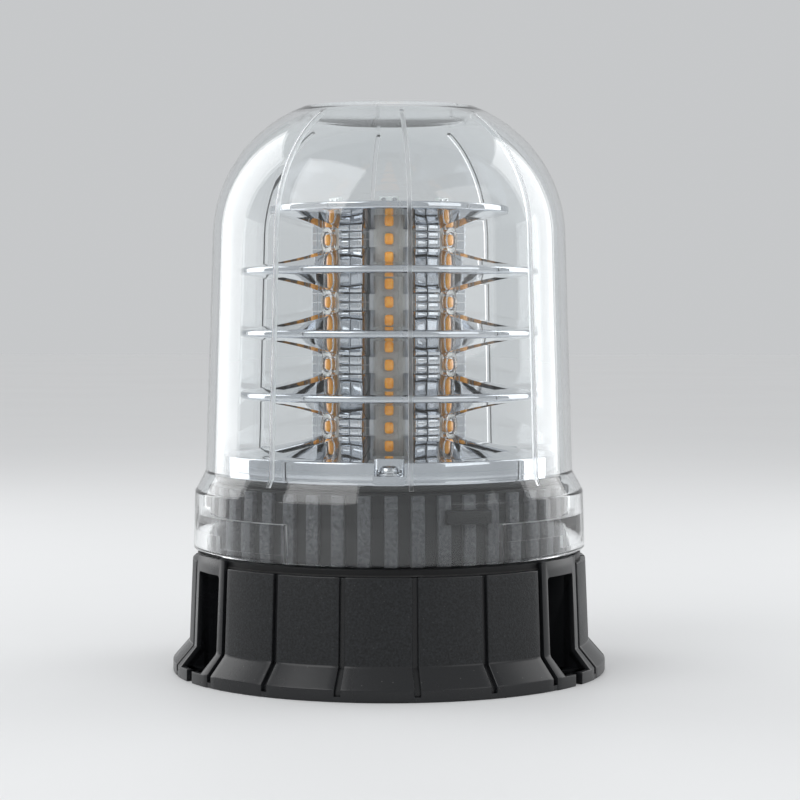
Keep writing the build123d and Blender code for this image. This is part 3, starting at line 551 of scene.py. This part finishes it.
# the emission colour and strength here are a painted glow on unlit LEDs
ledAmber = amberCap("ledAmber", {
    "grain": 700, "dark": (0.86, 0.3, 0.01), "light": (1.0, 0.5, 0.03), "paintedGlow": (1.0, 0.4, 0.02),
    "paintedGlowStrength": 0.22, "rough": (0.25, 0.4)})
print("materials made:", len(bpy.data.materials))


cameraFit = {"distance": 774.9, "height": 123.0, "azimuth": 2.9, "yaw": 0.28, "pitch": 2.215,
             "lens": 100.35}


def placeCamera():
    a = math.radians(cameraFit["azimuth"])
    away = cameraFit["distance"] * mm
    data = bpy.data.cameras.new("photoCamera")
    data.lens = cameraFit["lens"]
    data.sensor_width = 36
    camera = bpy.data.objects.new("photoCamera", data)
    bpy.context.scene.collection.objects.link(camera)
    camera.location = (away * math.sin(a), -away * math.cos(a), cameraFit["height"] * mm)
    camera.rotation_euler = (math.radians(90 - cameraFit["pitch"]), 0,
                             math.radians(cameraFit["azimuth"] - cameraFit["yaw"]))
    bpy.context.scene.camera = camera


placeCamera()


baseShape = {
    "footRadius": 75.0, "rimHeight": 4.0, "drumFoot": 69.3, "flareTop": 10.5, "drumTop": 68.0,
    "panelTop": 39.0, "frameTop": 41.5, "grooveDepth": 1.5, "grooveWidth": 1.8, "grooveStop": 1.8,
    "panelsPerSide": 5, "recesses": 3, "recessTurn": 60.0, "recessWidth": 17.2,
    "recessDepth": 55.5, "recessCeiling": 36.2, "recessWall": 2.4, "recessRound": 1.2,
    "frameWidth": 3.0, "tongueInner": 66.7, "boltDistance": 65.0, "boltHole": 3.5,
    "boltSlot": 4.4, "edge": 0.4,
    "pillarRadius": 4.5, "pillarDistance": 50.0, "pillarTurn": 30.0, "pillarTop": 62.5,
    "padInner": 52.5, "padOuter": 58.5, "padDeep": 1.2, "coverEdge": 50.5, "coverBore": 43.0,
    "coverDeep": 3.0, "ledgeTop": 5.5, "inside": 65.0, "sparkLow": 10.9, "sparkHigh": 38.5,
}


def drumRadius(z):
    s = baseShape
    share = (z - s["flareTop"]) / (s["frameTop"] - s["flareTop"])
    return s["drumFoot"] + (s["drumTop"] - s["drumFoot"]) * share


def recessCutter():
    s = baseShape
    void = addBlock("void", s["recessWidth"], s["recessDepth"], s["footRadius"] + 4,
                    s["rimHeight"], s["recessCeiling"])
    high = s["recessCeiling"] - 0.01
    return bevelChosen(void, s["recessRound"], 4,
                       lambda a, b: min(a.z, b.z) > high and abs(a.x - b.x) < 0.01)


def boltCutter():
    s = baseShape
    hole = addRod("hole", s["boltHole"], -1, s["rimHeight"] + 1, s["boltDistance"], 40)
    slot = addBlock("slot", s["boltSlot"], s["boltDistance"], s["footRadius"] + 3, -1,
                    s["rimHeight"] + 1)
    return carve(hole, slot, "UNION")


def buildBaseCore():
    s = baseShape
    low, top = s["rimHeight"], s["panelTop"] - 0.3
    lean = math.atan2(s["footRadius"] - s["drumFoot"], s["flareTop"] - low)
    deep = s["grooveDepth"]
    mitre = deep * math.tan(lean / 2)
    rim = s["footRadius"] - 0.1
    cover, pad, ledge = s["coverEdge"], s["padInner"], s["padInner"] + 1
    core = spinRing("core", [
        (cover, 0), (pad, 0), (pad, s["padDeep"]), (s["padOuter"], s["padDeep"]),
        (s["padOuter"], 0), (rim - 0.3, 0), (rim, 0.3),
        (rim, s["grooveStop"]), (s["footRadius"] - deep, s["grooveStop"]),
        (s["footRadius"] - deep, low - mitre), (s["drumFoot"] - deep, s["flareTop"] - mitre),
        (drumRadius(s["panelTop"]) - deep, top), (s["inside"], top), (s["inside"], low),
        (ledge, low), (ledge, s["ledgeTop"]), (s["coverBore"], s["ledgeTop"]),
        (s["coverBore"], s["coverDeep"]), (cover, s["coverDeep"])], 144)
    for k in range(s["recesses"]):
        for tool in (recessTool, boltTool):
            carve(core, copyTurned(tool, s["recessTurn"] + 120 * k))
    return cleanMesh(core, 0.01)


def skinOutline(top, inner, low):
    s = baseShape
    foot = s["footRadius"]
    points = [(foot, low), (foot, s["rimHeight"]), (s["drumFoot"], s["flareTop"]),
              (drumRadius(top), top), (inner, top), (inner, s["panelTop"] - 3.0),
              (s["drumFoot"] - 3.4, s["flareTop"] - 1.0), (foot - 3.0, s["rimHeight"] - 1.2),
              (foot - 3.0, low)]
    return roundCorners(points, {1: 0.8, 2: 1.6})


def buildPanels():
    s = baseShape
    frameAngle = math.degrees((s["recessWidth"] / 2 + s["frameWidth"]) / s["drumTop"])
    grooveAngle = math.degrees(s["grooveWidth"] / s["drumTop"])
    first = frameAngle + grooveAngle / 2
    pitch = (120 - 2 * first) / s["panelsPerSide"]
    plate = spinSector("panel", skinOutline(s["panelTop"], s["inside"] + 0.3, 0.05), 9,
                       pitch - grooveAngle)
    softenEdges(plate, s["edge"], 3, 50)
    panels = []
    for side in range(s["recesses"]):
        start = s["recessTurn"] + 120 * side + first + pitch / 2
        for k in range(s["panelsPerSide"]):
            panels.append(copyTurned(plate, start + k * pitch))
    discard(plate)
    return joinPieces(panels)


def buildRecessFrames():
    s = baseShape
    frameAngle = math.degrees((s["recessWidth"] / 2 + s["frameWidth"]) / s["drumTop"])
    skin = spinSector("recessFrame", skinOutline(s["frameTop"], s["tongueInner"], 0.05), 10,
                      2 * frameAngle)
    walls = addBlock("walls", s["recessWidth"] + 2 * s["recessWall"],
                     s["recessDepth"] - s["recessWall"], s["inside"] + 1, s["rimHeight"] - 0.1,
                     s["panelTop"] - 0.1)
    carve(skin, walls, "UNION")
    for tool in (recessTool, boltTool):
        carve(skin, copyTurned(tool, 0))
    cleanMesh(skin, 0.01)
    softenEdges(skin, 0.28, 2, 42)
    return turnAll(skin, s["recesses"], s["recessTurn"])


def buildPillars():
    s = baseShape
    pillar = addRod("pillar", s["pillarRadius"], s["rimHeight"] - 0.1, s["pillarTop"] - 0.05,
                    s["pillarDistance"], 40)
    softenEdges(pillar, 0.3)
    return turnAll(pillar, 3, s["pillarTurn"])


recessTool = recessCutter()
boltTool = boltCutter()
core = buildBaseCore()
panels = buildPanels()
frames = buildRecessFrames()
pillars = buildPillars()
discard(recessTool, boltTool)
paintFaces(panels, [housingSpark, housingSatin],
           lambda c, n: int(not baseShape["sparkLow"] <= c.z <= baseShape["sparkHigh"]))
for piece in (core, frames, pillars):
    paintFaces(piece, [housingSatin])
mountingBase = joinPieces([panels, core, frames, pillars])
smoothShade(mountingBase, 30)
dress(mountingBase, "mountingBase", "beacon", [], ["mounting_base"])
print("base ready:", len(mountingBase.data.polygons))


socketShape = {
    "flangeRadius": 66.4, "flangeBase": 39.5, "flangeTop": 41.5, "neckRadius": 60.4,
    "neckWall": 2.8, "deckTop": 65.0, "deckBase": 62.5, "holeRadius": 12.0, "ribs": 45,
    "ribWidth": 4.3, "ribRadius": 62.2, "ribTop": 64.2, "ribTurn": 3.5, "ribEdge": 0.35,
    "catchBase": 55.2, "catchTop": 59.7, "catchRadius": 64.7, "catchAngle": 14.0,
    "catchTurn": -93.6,
}


def buildSocket():
    s = socketShape
    inner = s["neckRadius"] - s["neckWall"]
    outline = roundCorners([
        (s["flangeRadius"], s["flangeBase"]), (s["flangeRadius"], s["flangeTop"]),
        (s["neckRadius"], s["flangeTop"]), (s["neckRadius"], s["deckTop"]),
        (s["holeRadius"], s["deckTop"]), (s["holeRadius"], s["deckBase"]),
        (inner, s["deckBase"]), (inner, s["flangeBase"])],
        {1: 0.5, 2: 0.6, 3: 0.6})
    neck = spinRing("neck", outline, 144)
    rib = addBlock("rib", s["ribWidth"], s["neckRadius"] - 1, s["ribRadius"],
                   s["flangeTop"] - 0.6, s["ribTop"], s["ribEdge"], 2)
    ribs = turnAll(rib, s["ribs"], s["ribTurn"])
    hook = spinSector("catch", roundCorners(
        ringSection(s["neckRadius"] - 1, s["catchRadius"], s["catchBase"], s["catchTop"]),
        {1: 0.5, 2: 0.9}, 3), 8, s["catchAngle"])
    softenEdges(hook, 0.3, 2, 60)
    hooks = turnAll(hook, 3, s["catchTurn"])
    # the ribs take the lighter copy as a painted highlight, the neck and catches the darker copy
    # as painted shade
    paintedLitAndShadedBlacks = [socketBlackPaintedShade, socketRibsPaintedHighlight]
    paintFaces(neck, paintedLitAndShadedBlacks)
    paintFaces(ribs, paintedLitAndShadedBlacks, lambda c, n: 1)
    paintFaces(hooks, paintedLitAndShadedBlacks)
    return joinPieces([neck, ribs, hooks])


lampSocket = smoothShade(buildSocket(), 35)
dress(lampSocket, "lampSocket", "beacon", [], ["lamp_socket"])
print("socket ready:", len(lampSocket.data.polygons))


towerShape = {
    "turn": 2.9, "columns": 6, "middles": (84.5, 105.7, 126.9, 148.1), "gap": 19.0,
    "apex": 20.0, "bore": 22.6, "rim": 51.6, "rimRound": 0.85, "topRim": 41.5,
    "topBase": 157.6, "topFace": 160.0, "skirtRadius": 57.5, "skirtTop": 75.0,
    "skirtBase": 65.0, "skirtWall": 2.0, "channel": 5.2, "channelAt": 24.5, "channelRim": 8.0,
    "pillarRadius": 26.6, "pillarWidth": 9.4, "rows": 7, "pitch": 21.2,
    "notchWidth": 9.7, "notchFloor": 70.5, "notchLength": 9.8, "notchRound": 1.5,
    "boreFoot": 73.0, "skirtStack": 5.4, "topStack": 5.0, "tipSlot": 7.3, "tipBack": 19.8,
    "tipFront": 22.0,
}


def coneLine(middle, side, rim, parts=18):
    # a tier's curved reflector face, from the bore out to the rim
    s = towerShape
    line = []
    for n in range(parts + 1):
        share = (n / parts) ** 1.6
        radius = s["bore"] + (rim - s["bore"]) * share
        rise = s["gap"] / 2 * math.sqrt((radius - s["apex"]) / (rim - s["apex"]))
        line.append((radius, middle + side * rise))
    return line


def channelTool(low, high, rim):
    # a round-backed slot at each LED column, open to the front up to the rim
    s = towerShape
    rod = addRod("channel", s["channel"], low, high, s["channelAt"], 40)
    slot = addBlock("slot", 2 * s["channel"], s["channelAt"], rim - s["channelRim"], low, high)
    carve(rod, slot, "UNION")
    return turnAll(rod, s["columns"], s["turn"])


def pillarStack(low, high):
    # upright mirror blocks, a scalloped file beside a flat one
    s = towerShape
    rows = max(2, round((high - low) * s["rows"] / s["pitch"]))
    step = (high - low) / rows
    half = s["pillarWidth"] / 2
    files = ((-half / 2 - 0.1, half - 0.25, 0.9), (half / 2 - 0.1, half - 0.05, 0.35))
    blocks = []
    for k in range(rows):
        base = low + k * step
        for across, width, bulge in files:
            brick = addBlock("brick", width, s["apex"] + 1.2, s["pillarRadius"] - 0.1,
                             base + 0.12, base + step - 0.12)
            bevelChosen(brick, bulge, 3, lambda a, b: max(a.y, b.y) < 0.2 - s["pillarRadius"])
            brick.location.x = across * mm
            blocks.append(fixPlace(brick))
    return turnAll(joinPieces(blocks), s["columns"], s["turn"] + 30)


def buildFin(index):
    s = towerShape
    below, above = s["middles"][index], s["middles"][index + 1]
    lower, upper = coneLine(below, 1, s["rim"]), coneLine(above, -1, s["rim"])
    edge = len(lower)
    rounds = {edge - 1: s["rimRound"], edge: s["rimRound"]}
    fin = spinRing("fin", roundCorners(lower + upper[::-1], rounds, 5), 144)
    carve(fin, channelTool(below - 1, above + 1, s["rim"]))
    return joinPieces([fin, pillarStack(below, above)])


def buildSkirt():
    s = towerShape
    middle = s["middles"][0]
    edge, wall = s["skirtRadius"], s["skirtWall"]
    upper = coneLine(middle, -1, s["rim"])
    under = [(radius, z - wall) for radius, z in upper if radius > s["bore"] + wall]
    outline = upper + [(edge, s["skirtTop"]), (edge, s["skirtBase"]),
                       (edge - wall, s["skirtBase"]), (edge - wall, s["skirtTop"] - wall)]
    outline += under[::-1] + [(under[0][0], s["boreFoot"]), (s["bore"], s["boreFoot"])]
    corner = len(upper)
    skirt = spinRing("skirt", roundCorners(outline, {corner: 0.7, corner + 1: 0.3}), 144)
    seat = addBlock("seat", s["notchWidth"] + 4, edge - s["notchLength"] - 2, edge - 1,
                    s["skirtBase"] + 0.02, s["skirtTop"] - 1)
    carve(skirt, turnAll(seat, 3, s["turn"]), "UNION")
    notch = addBlock("notch", s["notchWidth"], edge - s["notchLength"], edge + 1,
                     s["notchFloor"], s["skirtTop"] + 2)
    inside = s["notchLength"] - edge - 0.1
    bevelChosen(notch, s["notchRound"], 4,
                lambda a, b: min(a.y, b.y) > inside and abs(a.z - b.z) > 1)
    carve(skirt, turnAll(notch, 3, s["turn"]))
    carve(skirt, channelTool(60, middle + 1, s["rim"]))
    cleanMesh(skirt, 0.01)
    softenEdges(skirt, 0.22, 2, 50)
    return joinPieces([skirt, pillarStack(middle - s["skirtStack"], middle)])


def buildTop():
    s = towerShape
    middle = s["middles"][3]
    under = coneLine(middle, 1, s["topRim"])
    outline = under + [(s["topRim"], s["topFace"]), (0, s["topFace"]), (0, s["topBase"]),
                       (s["bore"], s["topBase"])]
    corner = len(under)
    plate = spinRing("topPlate", roundCorners(outline, {corner - 1: 0.7, corner: 0.7}, 5), 144)
    carve(plate, channelTool(middle - 1, s["topBase"], s["topRim"]))
    slot = addBlock("slot", s["tipSlot"], s["tipBack"], s["tipFront"], s["topBase"] - 1,
                    s["topFace"] + 1)
    carve(plate, turnAll(slot, s["columns"], s["turn"]))
    cleanMesh(plate, 0.01)
    return joinPieces([plate, pillarStack(middle, middle + s["topStack"])])


for k in range(3):
    fin = smoothShade(buildFin(k), 34)
    dress(fin, f"reflectorFin{k + 1}", "beacon", [reflectorChrome],
          [f"reflector_ring_{k + 1}"])
skirt = smoothShade(buildSkirt(), 34)
dress(skirt, "reflectorSkirt", "beacon", [reflectorChrome],
      ["reflector_skirt"])
topPlate = smoothShade(buildTop(), 34)
dress(topPlate, "reflectorTop", "beacon", [reflectorChrome],
      ["reflector_top"])
print("reflectors ready")


ledShape = {
    "spacing": 6.1, "width": 3.3, "height": 4.1, "back": 21.7, "front": 24.9, "round": 1.0,
    "windowBack": 23.2, "windowFace": 23.7, "low": 67.6, "high": 156.3,
    "neckWidth": 4.6, "frameWidth": 8.4, "frameHeight": 6.8, "frameFace": 24.1, "frameLine": 0.9,
    "frameRound": 2.2, "ring": 4.5, "ringHole": 2.8, "ringFace": 24.5,
}


def buildChip():
    s = ledShape
    package = addBlock("package", s["width"], s["back"], s["back"] + 0.6, -s["height"] / 2,
                       s["height"] / 2, 0.12, 1)
    cap = addBlock("cap", s["width"] - 0.24, s["back"] + 0.5, s["front"],
                   -s["height"] / 2 + 0.12, s["height"] / 2 - 0.12)
    bevelChosen(cap, s["round"], 3, lambda a, b: min(a.y, b.y) < 0.1 - s["front"])
    paintFaces(package, [ledCeramic, ledAmber])
    paintFaces(cap, [ledCeramic, ledAmber], lambda c, n: 1)
    return joinPieces([package, cap])


def roundedPane(name, width, height, back, front, at, corner):
    # an upright plate with its four corners rounded
    pane = addBlock(name, width, back, front, at - height / 2, at + height / 2)
    return bevelChosen(pane, corner, 5, lambda a, b: abs(a.y - b.y) > 0.3)


def flatDisc(name, radius, back, front, at):
    disc = addRod(name, radius, back, front, 0, 56)
    disc.rotation_euler.x = math.radians(90)
    disc.location.z = at * mm
    return fixPlace(disc)


def buildWindow():
    # a clear strip, open at each LED: an outline round the outer ones of a tier and a ring
    # round the middle one, with narrow necks behind the fins
    s = ledShape
    back = s["windowBack"]
    strip = addBlock("strip", s["neckWidth"], back, s["windowFace"], s["low"], s["high"])
    inside = []
    for z in towerShape["middles"]:
        for k in (-1, 1):
            at = z + k * s["spacing"]
            carve(strip, roundedPane("outline", s["frameWidth"], s["frameHeight"], back,
                                     s["frameFace"], at, s["frameRound"]), "UNION")
            inside.append(roundedPane("inside", s["frameWidth"] - 2 * s["frameLine"],
                                      s["frameHeight"] - 2 * s["frameLine"], back - 1,
                                      s["frameFace"] + 1, at, s["frameRound"] - 0.7))
    for pane in inside:
        carve(strip, pane)
    for z in towerShape["middles"]:
        carve(strip, flatDisc("ring", s["ring"], back, s["ringFace"], z), "UNION")
        carve(strip, flatDisc("hole", s["ringHole"], back - 1, s["ringFace"] + 1, z))
    cleanMesh(strip, 0.01)
    softenEdges(strip, 0.22, 2, 60)
    return cleanMesh(strip, 0.003)


chip = buildChip()
stack = []
for z in towerShape["middles"]:
    for k in (-1, 0, 1):
        stack.append(copyTurned(chip, 0, z + k * ledShape["spacing"]))
discard(chip)
chipColumn = smoothShade(joinPieces(stack), 40)
window = buildWindow()
paintFaces(window, [windowClear, windowEdge], lambda c, n: int(abs(n.y) <= 0.85))
smoothShade(window, 35)
for k in range(towerShape["columns"]):
    turn = towerShape["turn"] + 60 * k
    dress(copyTurned(chipColumn, turn), f"ledColumn{k + 1}", "beacon", [],
          [f"led_chips_{k + 1}"])
    dress(copyTurned(window, turn), f"ledWindow{k + 1}", "beacon", [],
          [f"led_lens_{k + 1}"])
discard(chipColumn, window)


tipShape = {"low": 160.7, "high": 162.1, "width": 1.5, "apart": 3.6, "back": 21.6, "front": 22.05}


def buildTipPads():
    # the tinned pads on the board ends that stand above the top plate
    s = tipShape
    pads = []
    for side in (-1, 1):
        pad = addBlock("pad", s["width"], s["back"], s["front"], s["low"], s["high"], 0.18, 2)
        pad.location.x = side * s["apart"] / 2 * mm
        pads.append(fixPlace(pad))
    return turnAll(joinPieces(pads), towerShape["columns"], towerShape["turn"])


tipPads = smoothShade(buildTipPads(), 40)
tipPads.name = "boardTipPads"
tipPads.data.materials.append(steelZinc)
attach(tipPads, "beacon")
print("LED columns ready")


screwShape = {"cross": 0.9, "crossWidth": 3.2, "crossDepth": 1.1, "crossTurn": 20}
reflectorScrewShape = {"head": 3.3, "height": 2.3, "shank": 1.75, "seat": 71.3, "foot": 57.0,
                       "distance": 52.5}
topScrewShape = {"head": 3.9, "height": 2.6, "shank": 2.0, "seat": 160.0, "foot": 148.0}
washerShape = {"inner": 2.05, "outer": 4.1, "low": 70.5, "high": 71.3}


def buildScrew(head, height, shank, seat, foot, distance=0.0):
    # a pan head with a cross recess, over a plain shank
    outline = [(0, foot), (shank - 0.35, foot), (shank, foot + 0.6), (shank, seat - 0.1),
               (shank, seat), (head, seat), (head, seat + height * 0.35),
               (head * 0.86, seat + height * 0.8), (head * 0.55, seat + height),
               (0, seat + height)]
    rounds = {5: 0.15, 6: 0.35, 7: 0.6, 8: 0.8}
    screw = spinRing("screw", roundCorners(outline, rounds, 3), 40, closed=False)
    s = screwShape
    for turn in (0, 90):
        bar = addBlock("bar", s["cross"], -s["crossWidth"] / 2, s["crossWidth"] / 2,
                       seat + height - s["crossDepth"], seat + height + 1)
        bar.rotation_euler.z = math.radians(turn + s["crossTurn"])
        carve(screw, fixPlace(bar))
    cleanMesh(screw, 0.003)
    softenEdges(screw, 0.08, 1, 50)
    screw.location.y = -distance * mm
    return fixPlace(screw)


reflectorScrew = buildScrew(**reflectorScrewShape)
reflectorScrews = smoothShade(turnAll(reflectorScrew, 3, towerShape["turn"]), 35)
dress(reflectorScrews, "reflectorScrews", "beacon", [steelZinc], ["reflector_screws"])
washer = spinRing("washer", roundCorners(ringSection(**washerShape),
                                         {1: 0.2, 2: 0.3, 3: 0.15}, 3), 48)
washer.location.y = -reflectorScrewShape["distance"] * mm
washers = smoothShade(turnAll(fixPlace(washer), 3, towerShape["turn"]), 35)
dress(washers, "reflectorWashers", "beacon", [steelZinc], ["reflector_washers"])
topScrew = smoothShade(buildScrew(**topScrewShape), 35)
dress(topScrew, "topScrew", "beacon", [steelZinc], ["top_screw"])
print("screws ready")


sealShape = {"inner": 57.9, "outer": 59.7, "low": 65.3, "high": 67.1}
sealRing = spinRing("sealRing", roundCorners(
    ringSection(**sealShape), {0: 0.5, 1: 0.7, 2: 0.7, 3: 0.5}), 144)
smoothShade(sealRing, 40)
dress(sealRing, "lensSeal", "seal", [sealRubber], ["lens_seal"])


lensShape = {
    "base": 42.3, "collarFoot": 67.9, "collarTop": 67.3, "collarTopZ": 62.0, "collarInner": 65.0,
    "edge": 0.6, "domeFoot": 63.6, "domeFootZ": 69.0, "domeTop": 61.0, "springZ": 148.9,
    "arc": 48.5, "arcCentre": 12.5, "crownZ": 193.81, "topZ": 194.5, "wall": 2.4,
    "ceiling": 191.1, "ribs": 8, "ribTurn": 9.4, "ribLow": 65.8, "ribHeight": 1.0,
    "ribWidth": 1.3, "pads": 3, "padTurn": -55.6, "padAngle": 55.0, "padInner": 62.8,
    "padLow": 42.7, "padHigh": 54.7, "padStep": 0.7, "padLine": 6.6, "rampDrop": 2.5,
}


def domeArc(radius, topZ, parts):
    s = lensShape
    end = math.asin((topZ - s["springZ"]) / radius)
    return [(s["arcCentre"] + radius * math.cos(end * n / parts),
             s["springZ"] + radius * math.sin(end * n / parts)) for n in range(parts + 1)]


def innerLine(inset):
    s = lensShape
    wall = s["wall"] + inset
    arc = domeArc(s["arc"] - wall, s["ceiling"] - inset, 24)
    return [(s["domeFoot"] - wall, s["domeFootZ"])] + arc


def buildLensShell():
    s = lensShape
    outer = [(s["collarInner"], s["base"]), (s["collarFoot"] - s["edge"], s["base"]),
             (s["collarFoot"], s["base"] + s["edge"]), (s["collarTop"], s["collarTopZ"]),
             (s["domeFoot"], s["domeFootZ"])] + domeArc(s["arc"], s["crownZ"], 26)
    rim = outer[-1]
    crown = [(rim[0] - 0.6, rim[1] + 0.16), (rim[0] - 2.0, rim[1] + 0.28),
             (22.0, s["topZ"] - 0.28), (12.0, s["topZ"] - 0.08), (0, s["topZ"])]
    inner = [(0, s["ceiling"])] + innerLine(0)[::-1] + [(s["collarInner"], s["collarTopZ"])]
    points = outer + crown + inner
    last = len(points) - 1
    rounds = {1: 0.3, 2: 0.3, 3: 1.4, 4: 2.2, last: 1.2, last - 1: 1.6}
    return spinRing("shell", roundCorners(points, rounds, 5), 160)


def buildRib():
    # a thin upright rib on the inner wall, sunk half way into it
    s = lensShape
    foot = s["domeFoot"] - s["wall"]
    outside, inside = innerLine(-1.0)[:-2], innerLine(s["ribHeight"])[:-2]
    rib = drawProfile("lensRib", [(foot + 1.9, s["ribLow"])] + outside + inside[::-1]
                      + [(foot + 0.85, s["ribLow"])])
    pickMesh()
    bpy.ops.mesh.edge_face_add()
    pickMesh()
    bpy.ops.mesh.extrude_region_move(TRANSFORM_OT_translate={"value": (0, s["ribWidth"] * mm, 0)})
    cleanMesh(rib)
    rib.location.y = -s["ribWidth"] / 2 * mm
    fixPlace(rib)
    rib.rotation_euler.z = math.radians(-90)
    return fixPlace(rib)


def buildPad():
    s = lensShape
    deep, low, half = s["padInner"], s["padLow"] - 1.4, s["padAngle"] / 2
    pad = spinSector("pad", ringSection(deep, s["collarInner"] + 0.9, s["padLow"], s["padHigh"]),
                     20, s["padAngle"])
    softenEdges(pad, 0.25, 2, 60)
    # the foot of its inner face is set back, by one height on each half
    for rise, side in ((s["padLine"], -1), (s["rampDrop"], 1)):
        step = ringSection(deep - 1, deep + s["padStep"], low, s["base"] + rise)
        carve(pad, spinSector("step", step, 12, half + 2, side * (half / 2 + 1)))
    return pad


def buildLens():
    s = lensShape
    shell = buildLensShell()
    rib = buildRib()
    for k in range(s["ribs"]):
        carve(shell, copyTurned(rib, s["ribTurn"] + 360 / s["ribs"] * k), "UNION")
    pad = buildPad()
    for k in range(s["pads"]):
        carve(shell, copyTurned(pad, s["padTurn"] + 360 / s["pads"] * k), "UNION")
    discard(rib, pad)
    return cleanMesh(shell, 0.003)


def wallRadius(z):
    # the inner wall's radius at a height
    s = lensShape
    if z < s["domeFootZ"]:
        share = (z - s["collarTopZ"]) / (s["domeFootZ"] - s["collarTopZ"])
        return s["collarInner"] + (s["domeFoot"] - s["wall"] - s["collarInner"]) * max(0, share)
    if z < s["springZ"]:
        share = (z - s["domeFootZ"]) / (s["springZ"] - s["domeFootZ"])
        return s["domeFoot"] - s["wall"] + (s["domeTop"] - s["domeFoot"]) * share
    reach = s["arc"] - s["wall"]
    rise = min(z - s["springZ"], reach)
    return s["arcCentre"] + math.sqrt(reach ** 2 - rise ** 2)


def lensFinish(centre, normal):
    # ribs and the edges of the pads are a little frosted by the mould
    s = lensShape
    radius = math.hypot(centre.x, centre.y)
    if centre.z < s["padHigh"] + 0.3:
        radial = abs(centre.x * normal.x + centre.y * normal.y) / radius
        inside = radius < s["collarInner"] - 0.05
        return int(s["base"] < centre.z and inside and radial < 0.8)
    return int(centre.z < s["ceiling"] - 0.3 and radius < wallRadius(centre.z) - 0.12)


lens = buildLens()
paintFaces(lens, [clearLens, lensFrost], lensFinish)
smoothShade(lens, 28)
dress(lens, "clearLensDome", "lens", [], ["lens_dome"])
print("lens ready:", len(lens.data.polygons))


# pieces that keep their CAD shape, by material
finishes = [
    (housingSatin, "base_cover", "breather_vent"),
    (steelZinc, "cover_screws", "socket_screws", "board_screws", "tower_screws"),
    (sealRubber, "cover_seal", "base_gasket", "cable_grommet", "socket_seal"),
    (connectorNylon, "board_connector", "tower_connector"),
    (boardWhite, "tower_base_board", *(f"led_board_{k}" for k in range(1, 7))),
    (boardGreen, "driver_board"), (capacitorCan, "filter_capacitors"),
    (ferriteGrey, "power_inductor"), (chipBlack, "control_chip", "driver_transistors"),
    (terminalGreen, "terminal_block"), (coreAluminium, "tower_core"),
]
for material, *names in finishes:
    for name in names:
        for slot in nodes[name].material_slots:
            slot.material = material


studio = {
    "floor": (0.74, 0.75, 0.76), "background": (0.568, 0.578, 0.588), "ambient": 0.8,
    "rough": (0.5, 0.6), "aim": (0, 0, 0.1),
    # each lamp's place in metres, its width, height and power
    "lamps": {"keyLamp": ((-0.85, -0.8, 1.0), 1.0, 1.0, 6.5),
              "fillLamp": ((0.9, -0.6, 0.5), 0.7, 0.7, 1.5),
              "backLeftLamp": ((-0.75, 0.4, 0.4), 0.5, 0.9, 2.6),
              "backRightLamp": ((0.75, 0.4, 0.4), 0.5, 0.9, 2.6)},
}


def buildFloor():
    pickNone()
    bpy.ops.mesh.primitive_plane_add(size=12, location=(0, 0, 0))
    floor = bpy.context.object
    floor.name = "studioFloor"
    pickMesh()
    bpy.ops.mesh.subdivide(number_cuts=6)
    leaveEdit()
    material, tree, shader, place = startMaterial("paleFloor")
    marks = addEffect(tree, handlingMarks, place, Size=3)
    pale = studio["floor"]
    tone = blend(tree, marks.outputs["Cloud"], pale, tuple(c * 0.985 for c in pale))
    setSkin(tree, shader, tone, marks.outputs["Cloud"], studio)
    floor.data.materials.append(material)


def buildWorld():
    world = bpy.data.worlds.new("studioWorld")
    bpy.context.scene.world = world
    world.use_nodes = True
    tree = world.node_tree
    tree.nodes.clear()
    rays = addNode(tree, "LightPath")
    seen = reckon(tree, "MAXIMUM", rays.outputs["Is Camera Ray"], rays.outputs["Is Glossy Ray"])
    shown = reckon(tree, "MAXIMUM", seen, rays.outputs["Is Transmission Ray"])
    light = addNode(tree, "Background", {"Color": (1.0, 1.0, 1.0, 1.0),
                                         "Strength": studio["ambient"]})
    pale = addNode(tree, "Background", {"Color": (*studio["background"], 1.0)})
    mix = addNode(tree, "MixShader", {0: shown, 1: light.outputs[0], 2: pale.outputs[0]})
    addNode(tree, "OutputWorld", {"Surface": mix.outputs[0]})


def addLamp(name, place, width, height, power):
    data = bpy.data.lights.new(name, "AREA")
    data.shape = "RECTANGLE"
    data.size = width
    data.size_y = height
    data.energy = power
    lamp = bpy.data.objects.new(name, data)
    bpy.context.scene.collection.objects.link(lamp)
    lamp.location = place
    look = Vector(studio["aim"]) - Vector(place)
    lamp.rotation_euler = look.to_track_quat("-Z", "Y").to_euler()


buildFloor()
buildWorld()
for name, settings in studio["lamps"].items():
    addLamp(name, *settings)
bpy.context.scene.view_settings.view_transform = "Standard"
print("studio ready")
